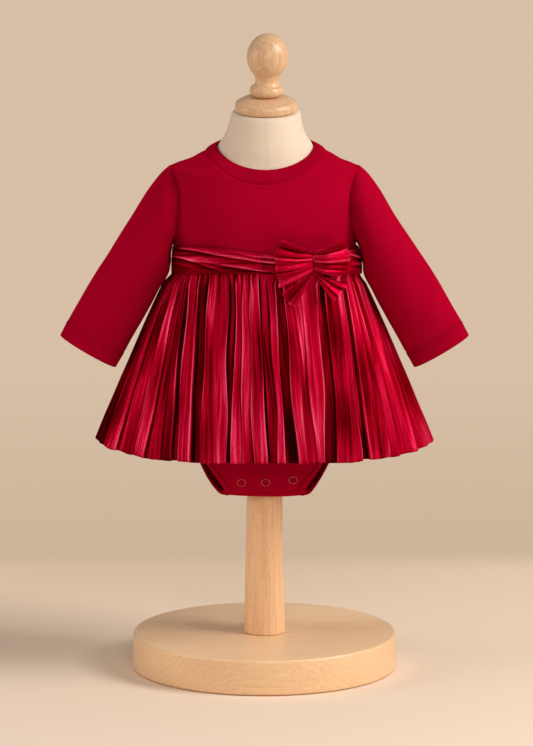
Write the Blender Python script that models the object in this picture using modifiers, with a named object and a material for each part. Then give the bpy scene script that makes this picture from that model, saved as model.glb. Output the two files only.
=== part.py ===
"""Toddler party dress standing on a limbless tabletop dress form.

The dress is a knit long-sleeve bodysuit with a pleated velvet skirt, a velvet sash and a bow. Sizes and
tables are in millimetres, and mesh points are turned into metres as they are made. +Z is up, +X is the
dress's right-hand side as seen from the front, and -Y is its front. The origin is the centre of the
stand's underside.

Angles run round the body from 0 at centre front to 90 degrees at the +X side and 180 at centre back.
"""

import math

import bmesh
import bpy
import numpy as np

MM = 0.001

# Cloth walls and seams
KNIT = 1.5
RIB = 1.8
VELVET = 1.2
LINING = 1.0
SEAM_GAP = 0.3
SIDE_GAP = 0.42  # from each panel's edge to the plane of the side seams
SLEEVE_GAP = 0.9  # from the armhole's edge to the sleeve's, across
BINDING_WIDTH = 9.0
BINDING_WALL = 1.0
BINDING_GAP = 1.35  # clears the facets of the panel under it

# Stand
BASE_RADIUS = 140.0
BASE_HEIGHT = 38.5
BASE_EDGE = 3.0
POLE_RADIUS_LOW = 22.0
POLE_RADIUS_HIGH = 17.4
TORSO_BOTTOM = 262.0
TORSO_TOP = 608.0
NECK_PLATE_RADIUS = 33.7
COLLAR_RADIUS = 18.5
BALL_RADIUS = 22.3
BALL_HALF_HEIGHT = 25.0
BALL_CENTRE = 668.0

# Heights of the dress's seams
WAIST_SIDE = 431.0
WAIST_FRONT = 447.0
WAIST_BACK = 426.0
ARMPIT = 467.0
SHOULDER_TIP = 549.0
NECK_SEAM_SIDE = 565.0
NECK_SEAM_BACK = 566.0
SKIRT_TUCK = 5.0  # height of the skirt's gathers above the waist seam, under the sash
LINING_OUT = 2.6  # outer faces of the layers at the waist, out from the bodice's
SKIRT_OUT = 5.9
WAIST_BLEND = 0.12  # share of the skirt's length over which it leaves the bodice's shape
HEM_SIDE = 251.0
HEM_FRONT = 247.7
LINING_HEM = 246.0

BODY_POWER = 2.2  # of the superellipse that a level cut through the bodice follows
POLE_HOLE_RADIUS = 21.5

COLOURS = {
    "knit": ((0.36, 0.001, 0.016), 0.85, 0.0),
    "velvet": ((0.30, 0.0, 0.012), 0.5, 0.0),
    "lining": ((0.16, 0.0, 0.008), 0.8, 0.0),
    "linen": ((0.80, 0.72, 0.60), 0.9, 0.0),
    "beech": ((0.66, 0.42, 0.24), 0.45, 0.0),
    "snap_metal": ((0.62, 0.20, 0.16), 0.3, 0.9),
}


def table(names, *rows):
    """The rows' numbers as one array under each column name."""
    return dict(zip(names.split(), np.array(rows, float).T))


# Level cuts through the bodice and the upper part of the panty: cloth's outer face
BODY = table(
    "z half_width front back",
    (318, 97.0, 62.0, 68.0),
    (360, 97.0, 64.0, 67.0),
    (400, 95.0, 65.0, 65.0),
    (431, 93.4, 65.5, 63.5),
    (445, 95.2, 66.2, 63.5),
    (456, 96.4, 66.5, 63.5),
    (470, 97.5, 66.6, 63.4),
    (490, 99.0, 66.5, 63.0),
    (515, 100.5, 64.0, 61.0),
    (530, 101.5, 61.0, 59.0),
    (541, 102.0, 58.3, 56.5),
    (545, 101.5, 57.3, 55.3),
    (549, 100.0, 56.2, 54.0),
    (552, 93.1, 55.2, 52.6),
    (556, 83.9, 54.0, 51.0),
    (560, 74.6, 52.5, 49.0),
    (565, 63.0, 50.0, 46.0),
    (570, 55.0, 47.5, 43.5),
)

# Half-width between the armhole edges at each height, front and back alike
ARMHOLE = table(
    "z half_width",
    (467, 97.2),
    (478, 94.0),
    (495, 92.0),
    (515, 91.5),
    (530, 93.0),
    (541, 96.5),
    (549, 100.0),
)

# Level cuts through the linen-covered form, and the power of each cut's superellipse
TORSO = table(
    "z half_width front back power",
    (262, 42.0, 30.0, 30.0, 2.2),
    (266, 62.0, 42.0, 43.0, 2.2),
    (276, 78.0, 51.0, 54.0, 2.2),
    (292, 88.0, 56.0, 60.0, 2.2),
    (318, 92.5, 58.0, 63.5, 2.2),
    (360, 93.3, 60.5, 63.5, 2.2),
    (400, 91.3, 61.5, 61.5, 2.2),
    (431, 89.8, 62.0, 60.0, 2.2),
    (456, 92.0, 62.7, 59.7, 2.2),
    (490, 94.0, 62.7, 59.2, 2.2),
    (515, 95.2, 60.2, 57.2, 2.2),
    (530, 95.8, 57.2, 55.2, 2.2),
    (541, 95.2, 54.2, 52.4, 2.2),
    (546, 93.1, 52.2, 50.6, 2.2),
    (549, 90.2, 50.6, 49.2, 2.2),
    (552, 86.0, 48.6, 47.7, 2.2),
    (556, 77.0, 45.4, 45.4, 1.8),
    (560, 67.5, 45.1, 43.5, 1.52),
    (563.5, 59.8, 45.1, 42.1, 1.5),
    (567, 54.0, 44.8, 40.8, 1.58),
    (570, 50.9, 44.6, 40.1, 1.75),
    (573, 48.5, 44.2, 39.6, 2.0),
    (580, 44.9, 42.8, 38.9, 2.0),
    (590, 41.2, 40.5, 38.3, 2.0),
    (600, 38.6, 38.6, 37.8, 2.0),
    (608, 37.5, 37.5, 37.5, 2.0),
)

# Front half of the neckline's seam: turn is the neckband's own angle, angle the bodice's
NECK_SEAM = table(
    "turn angle z",
    (0, 0.0, 541.0),
    (21, 11.3, 544.5),
    (41, 24.4, 552.0),
    (64, 52.0, 561.7),
    (90, 90.0, 565.0),
)

# Neckband's inner edge: half-width, front and back depth, and its heights; the front's dip is rounded
NECK_OPENING = {
    "half_width": 51.5,
    "front": 50.0,
    "back": 42.0,
    "z_side": 573.0,
    "z_front": 555.0,
    "z_back": 577.0,
}
NECK_ROUND = 1.45
NECK_SIDES = 28

# Right sleeve from shoulder to cuff: outer and underarm corners of each ring, and half its depth
SLEEVE = table(
    "outer_x outer_z inner_x inner_z half_depth",
    (109.0, 541.0, 100.9, 462.0, 37.0),
    (124.0, 520.5, 103.5, 452.8, 37.5),
    (144.0, 489.5, 105.2, 439.8, 36.5),
    (166.0, 456.0, 109.8, 421.5, 33.8),
    (183.0, 429.0, 124.4, 394.0, 29.3),
    (198.0, 402.0, 139.6, 366.5, 24.5),
    (209.0, 381.5, 150.6, 346.0, 20.0),
    (219.0, 362.0, 160.5, 327.3, 17.5),
)

# Skirt's ridges: share of the way from waist to hem, and the semi-axes of the cut there
SKIRT = table(
    "down half_width front back",
    (0.0, 98.5, 70.6, 68.2),
    (0.03, 99.8, 71.4, 69.2),
    (0.065, 103.5, 73.4, 71.6),
    (0.097, 107.5, 75.2, 74.0),
    (0.19, 117.3, 80.0, 79.0),
    (0.305, 127.0, 85.5, 85.0),
    (0.424, 136.5, 90.5, 90.0),
    (0.542, 145.6, 95.5, 95.0),
    (0.66, 155.0, 100.5, 100.0),
    (0.779, 164.0, 105.0, 105.0),
    (0.897, 173.3, 109.5, 109.5),
    (1.0, 180.8, 113.5, 113.5),
)
SKIRT_ROWS = (0.0, 0.03, 0.1, 0.3, 1.0)

# Deep folds of each half of the skirt, in degrees from its centre at waist and hem, with depths at hem
FRONT_FOLDS = table(
    "waist hem depth",
    (-90, -90, 6.0),
    (-72, -62, 9.0),
    (-46, -27, 13.0),
    (-12, -13, 12.0),
    (-1, 1, 10.0),
    (8, 10, 12.0),
    (28, 24, 13.0),
    (41, 44, 13.0),
    (66, 65, 9.0),
    (90, 90, 6.0),
)
BACK_FOLDS = table(
    "waist hem depth",
    (-90, -90, 6.0),
    (-70, -67, 10.0),
    (-49, -45, 12.0),
    (-30, -31, 10.0),
    (-9, -6, 13.0),
    (16, 17, 11.0),
    (34, 38, 12.0),
    (60, 57, 10.0),
    (90, 90, 6.0),
)
NARROW_PLEAT = 9.0  # degrees at the hem between two small valleys
NARROW_DEPTH = 5.0
LINING_FOLDS = 13.0  # the lining clears folds of this depth at the hem
LINING_DIP = 3.6
LINING_DIPS = table("angle spread", (-29, 9), (27, 15))
WAIST_DEPTH = 1.6
FOLD_GROWTH = 0.8  # powers of the share down the skirt with which folds deepen and fan out
FOLD_FAN = 0.6
# Each pleat's rise and its flat top, as shares of its width and of its depth
PLEAT_STEPS = ((0.0, 1.0), (0.3, 0.35), (0.8, 0.0))

# Front of the panty: level rows from the hip down to the snap flap's lower edge
PANTY_FRONT = table(
    "z half_width edge centre",
    (199.5, 41.0, 35.5, 38.5),
    (208, 46.5, 36.0, 41.0),
    (222, 55.5, 36.0, 46.0),
    (240, 67.5, 33.0, 50.5),
    (258, 79.0, 27.0, 54.5),
    (275, 88.0, 19.0, 57.5),
    (291, 94.0, 9.0, 60.0),
    (306, 97.0, 0.0, 61.3),
    (318, 97.0, 0.0, 62.0),
    (360, 97.0, 0.0, 64.0),
    (400, 95.0, 0.0, 65.0),
    (424, 93.6, 0.0, 65.4),
)
LEG_TOP = 306.0
PANTY_FRONT_ROWS = (424, 400, 350, 318, LEG_TOP, 291, 275, 258, 240, 222, 208, 199.5)
PANTY_COLUMNS = 13
PANTY_FRONT_LEG = 5  # first row of the leg edge, counted with the waist's row
PANTY_BACK_LEG = (4, 13)  # leg edge's rows, which end before the tab

# Back of the panty from the hip down, under the form and forward to the crotch's lower fold
PANTY_BACK = table(
    "centre_y centre_z half_width edge_y edge_z",
    (65.0, 400, 95.0, 0.0, 400),
    (67.0, 360, 97.0, 0.0, 360),
    (68.0, 325, 97.0, 0.0, 318),
    (68.0, 308, 97.0, 0.0, 306),
    (67.0, 286, 94.0, 22.0, 282),
    (60.0, 256, 84.5, 33.0, 256),
    (48.0, 232, 76.0, 30.0, 235),
    (30.0, 211, 68.0, 18.0, 219),
    (10.0, 199.0, 60.0, 2.0, 207),
    (-10.0, 193.5, 53.0, -14.0, 200),
    (-24.0, 192.0, 48.0, -26.0, 197),
    (-33.0, 194.5, 45.0, -32.5, 198),
)
TAB_ROWS = (203.0, 212.0, 221.0)  # heights of the back's snap tab behind the front flap
TAB_SHARE = 0.91  # of the flap's width
TAB_SLACK = 1.5  # between the flap and the tab behind it

SNAPS = table("x z", (-24.5, 211.0), (1.2, 211.5), (30.5, 214.0))
SNAP_RING = 4.4
SNAP_WIRE = 0.55

# Sash: share of its height, and how far its outer face stands from the bodice
SASH = table(
    "up out",
    (0.0, 9.0),
    (0.16, 9.4),
    (0.36, 7.8),
    (0.46, 8.3),
    (0.74, 5.4),
    (1.0, 2.8),
)
# The sash's height round the body: it narrows where the bow is tied
SASH_HEIGHT = table(
    "angle height",
    (-180, 28.0),
    (-90, 27.5),
    (-45, 30.0),
    (-15, 25.5),
    (8, 19.5),
    (32, 19.5),
    (60, 26.0),
    (90, 31.0),
    (130, 29.0),
    (180, 28.0),
)
SASH_WALL = 1.6

# Bow: rays from the pinch at its middle, and how far each fold stands out half-way along
PINCH_X = 52.3
PINCH_Y = -68.1
BOW_SLOPE = 0.24  # how much the bow's back turns away with x
LOOP_LEFT = table(
    "pinch_z end_x end_z out",
    (470.0, 17.6, 486.0, 1.0),
    (467.0, 14.0, 478.0, -1.5),
    (463.5, 11.0, 469.5, 3.0),
    (460.0, 11.0, 459.0, -0.5),
    (456.5, 12.5, 450.5, 3.0),
    (453.0, 14.0, 441.5, -1.0),
    (450.0, 15.5, 433.0, 2.0),
)
LOOP_RIGHT = table(
    "pinch_z end_x end_z out",
    (470.0, 85.3, 480.5, 1.0),
    (466.5, 88.6, 472.5, -1.5),
    (462.5, 91.2, 463.0, 3.0),
    (458.5, 90.5, 455.5, -0.5),
    (454.5, 88.0, 448.5, 2.5),
    (450.5, 83.4, 442.0, 0.5),
)
TAIL_LEFT = table(
    "pinch_z end_x end_z out",
    (448.2, 19.0, 430.0, 1.0),
    (447.4, 24.0, 419.5, -1.0),
    (446.6, 29.0, 416.5, 2.0),
    (445.8, 33.6, 414.5, 0.5),
)
TAIL_RIGHT = table(
    "pinch_z end_x end_z out",
    (448.4, 88.0, 434.5, 1.0),
    (447.6, 84.0, 427.7, -1.0),
    (446.8, 78.5, 422.0, 2.0),
    (446.0, 73.0, 416.7, 0.5),
)
# Along a loop from the pinch out and back: share of the ray's length, lift off the bow's back
LOOP_PATH = table(
    "along lift out",
    (0.0, 3.4, 0.0),
    (0.18, 6.4, 0.5),
    (0.45, 9.6, 1.0),
    (0.75, 9.4, 0.9),
    (0.95, 7.2, 0.6),
    (1.0, 4.2, 0.4),
    (0.95, 1.6, 0.2),
    (0.5, 0.7, 0.0),
    (0.03, 0.7, 0.0),
)
LOOP_MIDDLE = 5.0  # lift of a point inside the loops
TAIL_BEHIND = -40.0  # and of one behind the tails
TAIL_PATH = table(
    "along lift out",
    (0.0, 1.1, 0.0),
    (0.3, 6.0, 0.6),
    (0.65, 11.0, 1.0),
    (1.0, 15.0, 1.0),
)


def read(rows, column, at, key="z"):
    """A smooth curve through a table's column that never overshoots its rows, read where key is `at`."""
    xs = rows[key]
    ys = rows[column]
    if at <= xs[0]:
        return float(ys[0])
    if at >= xs[-1]:
        return float(ys[-1])
    slopes = np.diff(ys) / np.diff(xs)
    tangents = np.zeros(len(xs))
    tangents[0] = slopes[0]
    tangents[-1] = slopes[-1]
    for n in range(1, len(xs) - 1):
        if slopes[n - 1] * slopes[n] > 0:
            tangents[n] = 2 * slopes[n - 1] * slopes[n] / (slopes[n - 1] + slopes[n])
    n = int(np.searchsorted(xs, at)) - 1
    width = xs[n + 1] - xs[n]
    t = (at - xs[n]) / width
    return float(
        ys[n] * (1 + 2 * t) * (1 - t) ** 2
        + ys[n + 1] * t * t * (3 - 2 * t)
        + width * t * (1 - t) * (tangents[n] * (1 - t) - tangents[n + 1] * t)
    )


def bend(value, power):
    """value to a superellipse's power, with its sign kept."""
    return math.copysign(abs(value) ** (2 / power), value)


def ellipse_point(angle, z, half_width, front, back, power=2.0):
    """The point of a level superellipse at an angle in degrees from centre front."""
    across = bend(math.sin(math.radians(angle)), power)
    ahead = bend(math.cos(math.radians(angle)), power)
    return np.array((half_width * across, -(front if ahead > 0 else back) * ahead, z))


def body_point(angle, z, out=0.0):
    """A point of the bodice's outer face, or `out` beyond it."""
    return ellipse_point(
        angle,
        z,
        read(BODY, "half_width", z) + out,
        read(BODY, "front", z) + out,
        read(BODY, "back", z) + out,
        BODY_POWER,
    )


def waist_z(angle):
    """Height of the waist seam, which rises to the front and dips a little at the back."""
    ahead = math.cos(math.radians(angle))
    slope = (WAIST_FRONT - WAIST_BACK) / 2
    lift = (WAIST_FRONT + WAIST_BACK) / 2 - WAIST_SIDE
    return WAIST_SIDE + slope * ahead + lift * (math.hypot(ahead, 0.15) - 0.15)


def neck_seam(turn):
    """The neckline's seam at the neckband's angle: the bodice's angle there, and the height."""
    around = abs((turn + 180) % 360 - 180)
    if around >= 90:
        return turn, NECK_SEAM_SIDE + (NECK_SEAM_BACK - NECK_SEAM_SIDE) * -math.cos(math.radians(turn))
    angle = read(NECK_SEAM, "angle", around, "turn")
    return math.copysign(angle, math.sin(math.radians(turn))), read(NECK_SEAM, "z", around, "turn")


def collection(name):
    """A new collection in the scene."""
    made = bpy.data.collections.new(name)
    bpy.context.scene.collection.children.link(made)
    return made


def material(name):
    """The Principled material of that name, made once."""
    if name in bpy.data.materials:
        return bpy.data.materials[name]
    colour, roughness, metallic = COLOURS[name]
    made = bpy.data.materials.new(name)
    made.use_nodes = True
    shader = made.node_tree.nodes["Principled BSDF"]
    shader.inputs["Base Color"].default_value = (*colour, 1.0)
    shader.inputs["Roughness"].default_value = roughness
    shader.inputs["Metallic"].default_value = metallic
    made.diffuse_color = (*colour, 1.0)
    return made


def add_object(name, points, faces, finish, parent=None, smooth=True):
    """A mesh object from points in millimetres."""
    mesh = bpy.data.meshes.new(name)
    mesh.from_pydata([tuple(float(c) * MM for c in p) for p in points], [], faces)
    mesh.materials.append(material(finish))
    if smooth:
        mesh.shade_smooth()
    made = bpy.data.objects.new(name, mesh)
    parts.objects.link(made)
    made.parent = parent
    return made


def grid_faces(rows, columns, closed):
    """Quads between neighbouring rows, joined round where the rows are closed."""
    return [
        (
            r * columns + c,
            r * columns + (c + 1) % columns,
            (r + 1) * columns + (c + 1) % columns,
            (r + 1) * columns + c,
        )
        for r in range(rows - 1)
        for c in range(columns if closed else columns - 1)
    ]


def turn_outward(made, inside):
    """Flips a sheet's faces where they look towards the point `inside`, in millimetres."""
    mesh = bmesh.new()
    mesh.from_mesh(made.data)
    centre = np.array(inside) * MM
    facing = sum(
        face.calc_area() * float(np.dot(face.normal, np.array(face.calc_center_median()) - centre))
        for face in mesh.faces
    )
    if facing < 0:
        bmesh.ops.reverse_faces(mesh, faces=mesh.faces)
    mesh.to_mesh(made.data)
    mesh.free()


def add_cloth(name, grid, finish, wall, inside, closed=False, parent=None):
    """A cloth wall whose outer face is a grid of points, thickened towards `inside`."""
    points = [p for row in grid for p in row]
    made = add_object(name, points, grid_faces(len(grid), len(grid[0]), closed), finish, parent)
    turn_outward(made, inside)
    shell = made.modifiers.new("wall", "SOLIDIFY")
    shell.thickness = wall * MM
    shell.offset = -1
    shell.use_rim = True
    return made


def add_turned(name, profile, finish, steps, parent=None):
    """A turned solid from (radius, height) pairs that run down its outer side."""
    mesh = bpy.data.meshes.new(name)
    points = [(radius * MM, 0.0, z * MM) for radius, z in profile]
    mesh.from_pydata(points, [(n, n + 1) for n in range(len(points) - 1)], [])
    mesh.materials.append(material(finish))
    made = bpy.data.objects.new(name, mesh)
    parts.objects.link(made)
    made.parent = parent
    screw = made.modifiers.new("turn", "SCREW")
    screw.steps = steps
    screw.render_steps = steps
    screw.use_merge_vertices = True
    screw.merge_threshold = 0.00001
    screw.use_smooth_shade = True
    return made


def arc(centre, radii, start, end, count):
    """Profile points on an ellipse's arc, with angles in degrees up from level."""
    return [
        (
            centre[0] + radii[0] * math.cos(math.radians(start + (end - start) * n / (count - 1))),
            centre[1] + radii[1] * math.sin(math.radians(start + (end - start) * n / (count - 1))),
        )
        for n in range(count)
    ]


def normals_of(grid):
    """Unit normals at a grid's points, from its neighbouring rows and columns."""
    points = np.array(grid)
    along = np.gradient(points, axis=1)
    across = np.gradient(points, axis=0)
    normals = np.cross(along, across)
    return normals / np.linalg.norm(normals, axis=2, keepdims=True)


# The stand


def add_stand():
    """Base disc, pole, linen-covered torso and neck, neck plate and turned finial."""
    stand = bpy.data.objects.new("stand", None)
    parts.objects.link(stand)
    rim = BASE_RADIUS - BASE_EDGE
    add_turned(
        "base_disc",
        [(0, BASE_HEIGHT)]
        + arc((rim, BASE_HEIGHT - BASE_EDGE), (BASE_EDGE, BASE_EDGE), 90, 0, 4)
        + arc((rim, BASE_EDGE), (BASE_EDGE, BASE_EDGE), 0, -90, 4)
        + [(0, 0)],
        "beech",
        64,
        stand,
    )
    add_turned(
        "pole",
        [
            (0, TORSO_BOTTOM - SEAM_GAP),
            (POLE_RADIUS_HIGH, TORSO_BOTTOM - SEAM_GAP),
            (POLE_RADIUS_LOW, BASE_HEIGHT + SEAM_GAP),
            (0, BASE_HEIGHT + SEAM_GAP),
        ],
        "beech",
        32,
        stand,
    )
    add_torso(stand)
    plate_low = TORSO_TOP + SEAM_GAP
    add_turned(
        "neck_plate",
        [(0, 624.3), (COLLAR_RADIUS + 1.5, 624.3), (27.0, 621.5)]
        + arc((NECK_PLATE_RADIUS - 4.5, 614.4), (4.5, 4.6), 70, -70, 6)
        + [(26.5, plate_low), (0, plate_low)],
        "beech",
        32,
        stand,
    )
    add_turned(
        "finial_knob",
        [(0, BALL_CENTRE + BALL_HALF_HEIGHT)]
        + arc((0, BALL_CENTRE), (BALL_RADIUS, BALL_HALF_HEIGHT), 75, -50, 9)
        + [(12.5, 643.5), (12.5, 640.0), (14.5, 637.6)]
        + arc((COLLAR_RADIUS - 4.5, 631.2), (4.5, 5.6), 70, -70, 5)
        + [(13.5, 624.6), (0, 624.6)],
        "beech",
        32,
        stand,
    )
    return stand


def add_torso(parent):
    """Padded torso and neck in one linen cover, closed flat above and below."""
    sides = 36
    points = []
    for n, z in enumerate(TORSO["z"]):
        cut = [TORSO[key][n] for key in ("half_width", "front", "back", "power")]
        points += [ellipse_point(360 * s / sides, z, *cut) for s in range(sides)]
    rings = len(TORSO["z"])
    faces = grid_faces(rings, sides, True)
    faces.append(tuple(reversed(range(sides))))
    faces.append(tuple(range((rings - 1) * sides, rings * sides)))
    made = add_object("form_torso", points, faces, "linen", parent)
    made.data.set_sharp_from_angle(angle=math.radians(50))


# Bodice, neckband and sleeves


def armhole_angle(z):
    """Angle from the panel's centre to its edge: 90 at the side and shoulder seams, less at the armhole."""
    if not ARMPIT < z < SHOULDER_TIP:
        return 90.0
    share = min(1.0, read(ARMHOLE, "half_width", z) / read(BODY, "half_width", z))
    return math.degrees(math.asin(share ** (BODY_POWER / 2)))


def bodice_point(ahead, across, up):
    """Bodice panel: ahead is 1 on the front and -1 on the back, across runs -1 to 1, up runs 0 to 1."""
    side_low = waist_z(90)
    limit = armhole_angle(side_low + up * (NECK_SEAM_SIDE - side_low))
    level = 90 * across
    seam_angle, seam_z = neck_seam(level if ahead > 0 else 180 - level)
    if ahead < 0:
        seam_angle = level
    angle = (level + up**2 * (seam_angle - level)) * limit / 90
    if ahead < 0:
        angle = 180 - angle
    low = waist_z(angle) + SEAM_GAP / 2
    point = body_point(angle, low + up * (seam_z - low))
    point[1] -= ahead * SIDE_GAP
    return point


def bodice_rows():
    """Shares of the panel's height, with rows exactly at the armpit and the shoulder tip."""
    side_low = waist_z(90)
    span = NECK_SEAM_SIDE - side_low
    armpit = (ARMPIT - side_low) / span
    tip = (SHOULDER_TIP - side_low) / span
    below = np.linspace(0, armpit, 3)
    armhole = np.linspace(armpit, tip, 8)
    above = np.linspace(tip, 1, 3)
    return list(below) + list(armhole[1:]) + list(above[1:]), armpit, tip


def add_bodice():
    """Front and back panels, from the waist seam to the shoulder seams and the neckline."""
    rows, _, _ = bodice_rows()
    for name, ahead in (("bodice_front", 1), ("bodice_back", -1)):
        grid = [[bodice_point(ahead, across, up) for across in np.linspace(-1, 1, 15)] for up in rows]
        add_cloth(name, grid, "knit", KNIT, (0, 0, 480))


def neckband_row(up):
    """Neckband points round the neck: up runs 0 at the seam to 1 at the folded inner edge."""
    row = []
    opening = NECK_OPENING
    for n in range(NECK_SIDES):
        turn = 360 * n / NECK_SIDES
        ahead = math.cos(math.radians(turn))
        angle, seam_z = neck_seam(turn)
        seam = body_point(angle, seam_z + 1.5 * SEAM_GAP)
        if ahead > 0:
            edge_z = opening["z_side"] - (opening["z_side"] - opening["z_front"]) * ahead**NECK_ROUND
        else:
            edge_z = opening["z_side"] - (opening["z_back"] - opening["z_side"]) * ahead
        edge = ellipse_point(turn, edge_z, opening["half_width"], opening["front"], opening["back"])
        point = seam + up * (edge - seam)
        bulge = math.sin(math.pi * up)
        point[:2] *= 1 + bulge / np.linalg.norm(point[:2])
        point[2] += 0.8 * bulge
        row.append(point)
    return row


def add_neckband():
    """Rib neckband, one closed ring."""
    grid = [neckband_row(up) for up in (0.0, 0.16, 0.84, 1.0)]
    add_cloth("neckband", grid, "knit", RIB, (0, 0, 500), closed=True)


def sleeve_grid(side):
    """Rings from the armhole to the cuff: ring points start at the shoulder and run round by the front."""
    _, armpit, tip = bodice_rows()
    steps = 9
    shares = [(1 - math.cos(math.pi * n / steps)) / 2 for n in range(steps + 1)]
    armhole = [bodice_point(1, side, tip + (armpit - tip) * share) for share in shares]
    armhole += [bodice_point(-1, side, armpit + (tip - armpit) * share) for share in shares[1:-1]]
    for point in armhole:
        point[0] += side * SLEEVE_GAP
    rings = [armhole]
    for n in range(len(SLEEVE["outer_x"])):
        outer = np.array((SLEEVE["outer_x"][n], 0, SLEEVE["outer_z"][n]))
        inner = np.array((SLEEVE["inner_x"][n], 0, SLEEVE["inner_z"][n]))
        middle = (outer + inner) / 2
        reach = (outer - inner) / 2
        depth = SLEEVE["half_depth"][n]
        ring = []
        for s in range(2 * steps):
            turn = math.pi * s / steps
            point = middle + reach * math.cos(turn)
            point[1] = -depth * bend(math.sin(turn), BODY_POWER)
            point[0] *= side
            ring.append(point)
        rings.append(ring)
    return rings


def add_sleeves():
    """Long set-in sleeves, each one tube with its seam underneath."""
    for name, side in (("sleeve_left", -1), ("sleeve_right", 1)):
        grid = sleeve_grid(side)
        middle = np.mean([p for ring in grid for p in ring], axis=0)
        made = add_cloth(name, grid, "knit", KNIT, middle, closed=True)
        made.data.set_sharp_from_angle(angle=math.radians(60))


# Panty


def panty_front_point(across, z, out=0.0):
    """Front of the panty below the waist: across runs -1 to 1 between side seams or leg edges."""
    half_width = read(PANTY_FRONT, "half_width", z) + out
    edge = read(PANTY_FRONT, "edge", z)
    centre = read(PANTY_FRONT, "centre", z) + out
    turn = math.radians(90 * across)
    x = half_width * bend(math.sin(turn), BODY_POWER)
    y = -(edge + (centre - edge) * bend(math.cos(turn), BODY_POWER))
    return np.array((x, y - SIDE_GAP, z))


def waist_row(ahead, columns):
    """Top row of a panty panel, just under the waist seam."""
    row = []
    for across in columns:
        angle = 90 * across if ahead > 0 else 180 - 90 * across
        point = body_point(angle, waist_z(angle) - SEAM_GAP / 2)
        point[1] -= ahead * SIDE_GAP
        row.append(point)
    return row


def panty_front_grid():
    """Rows from the waist seam to the snap flap's lower edge."""
    columns = np.linspace(-1, 1, PANTY_COLUMNS)
    below = [[panty_front_point(c, z) for c in columns] for z in PANTY_FRONT_ROWS]
    return [waist_row(1, columns)] + below


def panty_back_grid():
    """Rows from the waist seam, under the form, to the top of the snap tab behind the flap."""
    columns = np.linspace(-1, 1, PANTY_COLUMNS)
    grid = [waist_row(-1, columns)]
    for n in range(len(PANTY_BACK["centre_y"])):
        centre = np.array((PANTY_BACK["centre_y"][n], PANTY_BACK["centre_z"][n]))
        edge = np.array((PANTY_BACK["edge_y"][n], PANTY_BACK["edge_z"][n]))
        row = []
        for across in columns:
            turn = math.radians(90 * across)
            y, z = edge + (centre - edge) * bend(math.cos(turn), BODY_POWER)
            x = PANTY_BACK["half_width"][n] * bend(math.sin(turn), BODY_POWER)
            row.append(np.array((x, y + SIDE_GAP, z)))
        grid.append(row)
    behind = KNIT + SEAM_GAP
    for z in TAB_ROWS:
        row = [panty_front_point(c * TAB_SHARE, z) for c in columns]
        for point in row:
            point[1] += behind + TAB_SLACK
        grid.append(row)
    return grid


def add_cutter(name, radius, low, high):
    """An upright cylinder that only cuts."""
    bpy.ops.mesh.primitive_cylinder_add(
        vertices=32, radius=radius * MM, depth=(high - low) * MM, location=(0, 0, (low + high) / 2 * MM)
    )
    made = bpy.context.active_object
    made.name = name
    for owner in list(made.users_collection):
        owner.objects.unlink(made)
    cutters.objects.link(made)
    made.hide_render = True
    made.display_type = "WIRE"
    return made


def add_panty():
    """Front with its snap flap, and back with its tab and the round hole that the pole passes."""
    front = panty_front_grid()
    back = panty_back_grid()
    add_cloth("panty_front", front, "knit", KNIT, (0, 0, 330))
    panel = add_cloth("panty_back", back, "knit", KNIT, (0, 0, 280))
    hole = panel.modifiers.new("pole hole", "BOOLEAN")
    hole.operation = "DIFFERENCE"
    hole.solver = "EXACT"
    hole.object = add_cutter("pole_hole_cutter", POLE_HOLE_RADIUS, 170, 240)
    add_bindings("front", front[PANTY_FRONT_LEG:], (0, 0, 330))
    add_bindings("back", back[PANTY_BACK_LEG[0] : PANTY_BACK_LEG[1]], (0, 0, 280))


def add_bindings(label, rows, inside):
    """Narrow bindings on a panel's two leg edges, lying on the panel's outer face."""
    for side, name in ((-1, f"leg_binding_{label}_left"), (1, f"leg_binding_{label}_right")):
        outer = []
        for row in rows:
            line = np.array(row if side < 0 else row[::-1])
            lengths = np.concatenate(([0], np.cumsum(np.linalg.norm(np.diff(line, axis=0), axis=1))))
            picks = np.linspace(0, BINDING_WIDTH, 3)
            outer.append([np.array([np.interp(p, lengths, line[:, k]) for k in range(3)]) for p in picks])
        normals = normals_of(outer)
        away = np.array(outer) - np.array(inside)
        if np.sum(normals * away) < 0:
            normals = -normals
        lifted = np.array(outer) + normals * (BINDING_GAP + BINDING_WALL)
        add_cloth(name, lifted, "knit", BINDING_WALL, inside)


def add_snaps():
    """Ring snaps on the flap's face."""
    for n, name in enumerate(("snap_left", "snap_centre", "snap_right")):
        x = SNAPS["x"][n]
        z = SNAPS["z"][n]
        half_width = read(PANTY_FRONT, "half_width", z)
        share = math.degrees(math.asin(abs(x / half_width) ** (BODY_POWER / 2))) / 90
        across = math.copysign(share, x)
        point = panty_front_point(across, z)
        step = 0.5
        up = panty_front_point(across, z + step) - panty_front_point(across, z - step)
        along = panty_front_point(across + 0.02, z) - panty_front_point(across - 0.02, z)
        normal = np.cross(along, up)
        normal /= np.linalg.norm(normal)
        centre = point + normal * (SNAP_WIRE + SEAM_GAP + 0.15)
        bpy.ops.mesh.primitive_torus_add(
            major_radius=SNAP_RING * MM,
            minor_radius=SNAP_WIRE * MM,
            major_segments=16,
            minor_segments=6,
            location=tuple(centre * MM),
        )
        ring = bpy.context.active_object
        ring.name = name
        ring.rotation_euler = (
            math.atan2(math.hypot(normal[0], normal[1]), normal[2]),
            0,
            math.atan2(normal[1], normal[0]) + math.pi / 2,
        )
        for owner in list(ring.users_collection):
            owner.objects.unlink(ring)
        parts.objects.link(ring)
        ring.data.materials.append(material("snap_metal"))
        ring.data.shade_smooth()


# Skirt, sash and bow


def hem_z(angle):
    """Height of the skirt's hem, which dips to the front and back."""
    return HEM_SIDE + (HEM_FRONT - HEM_SIDE) * abs(math.cos(math.radians(angle)))


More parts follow.
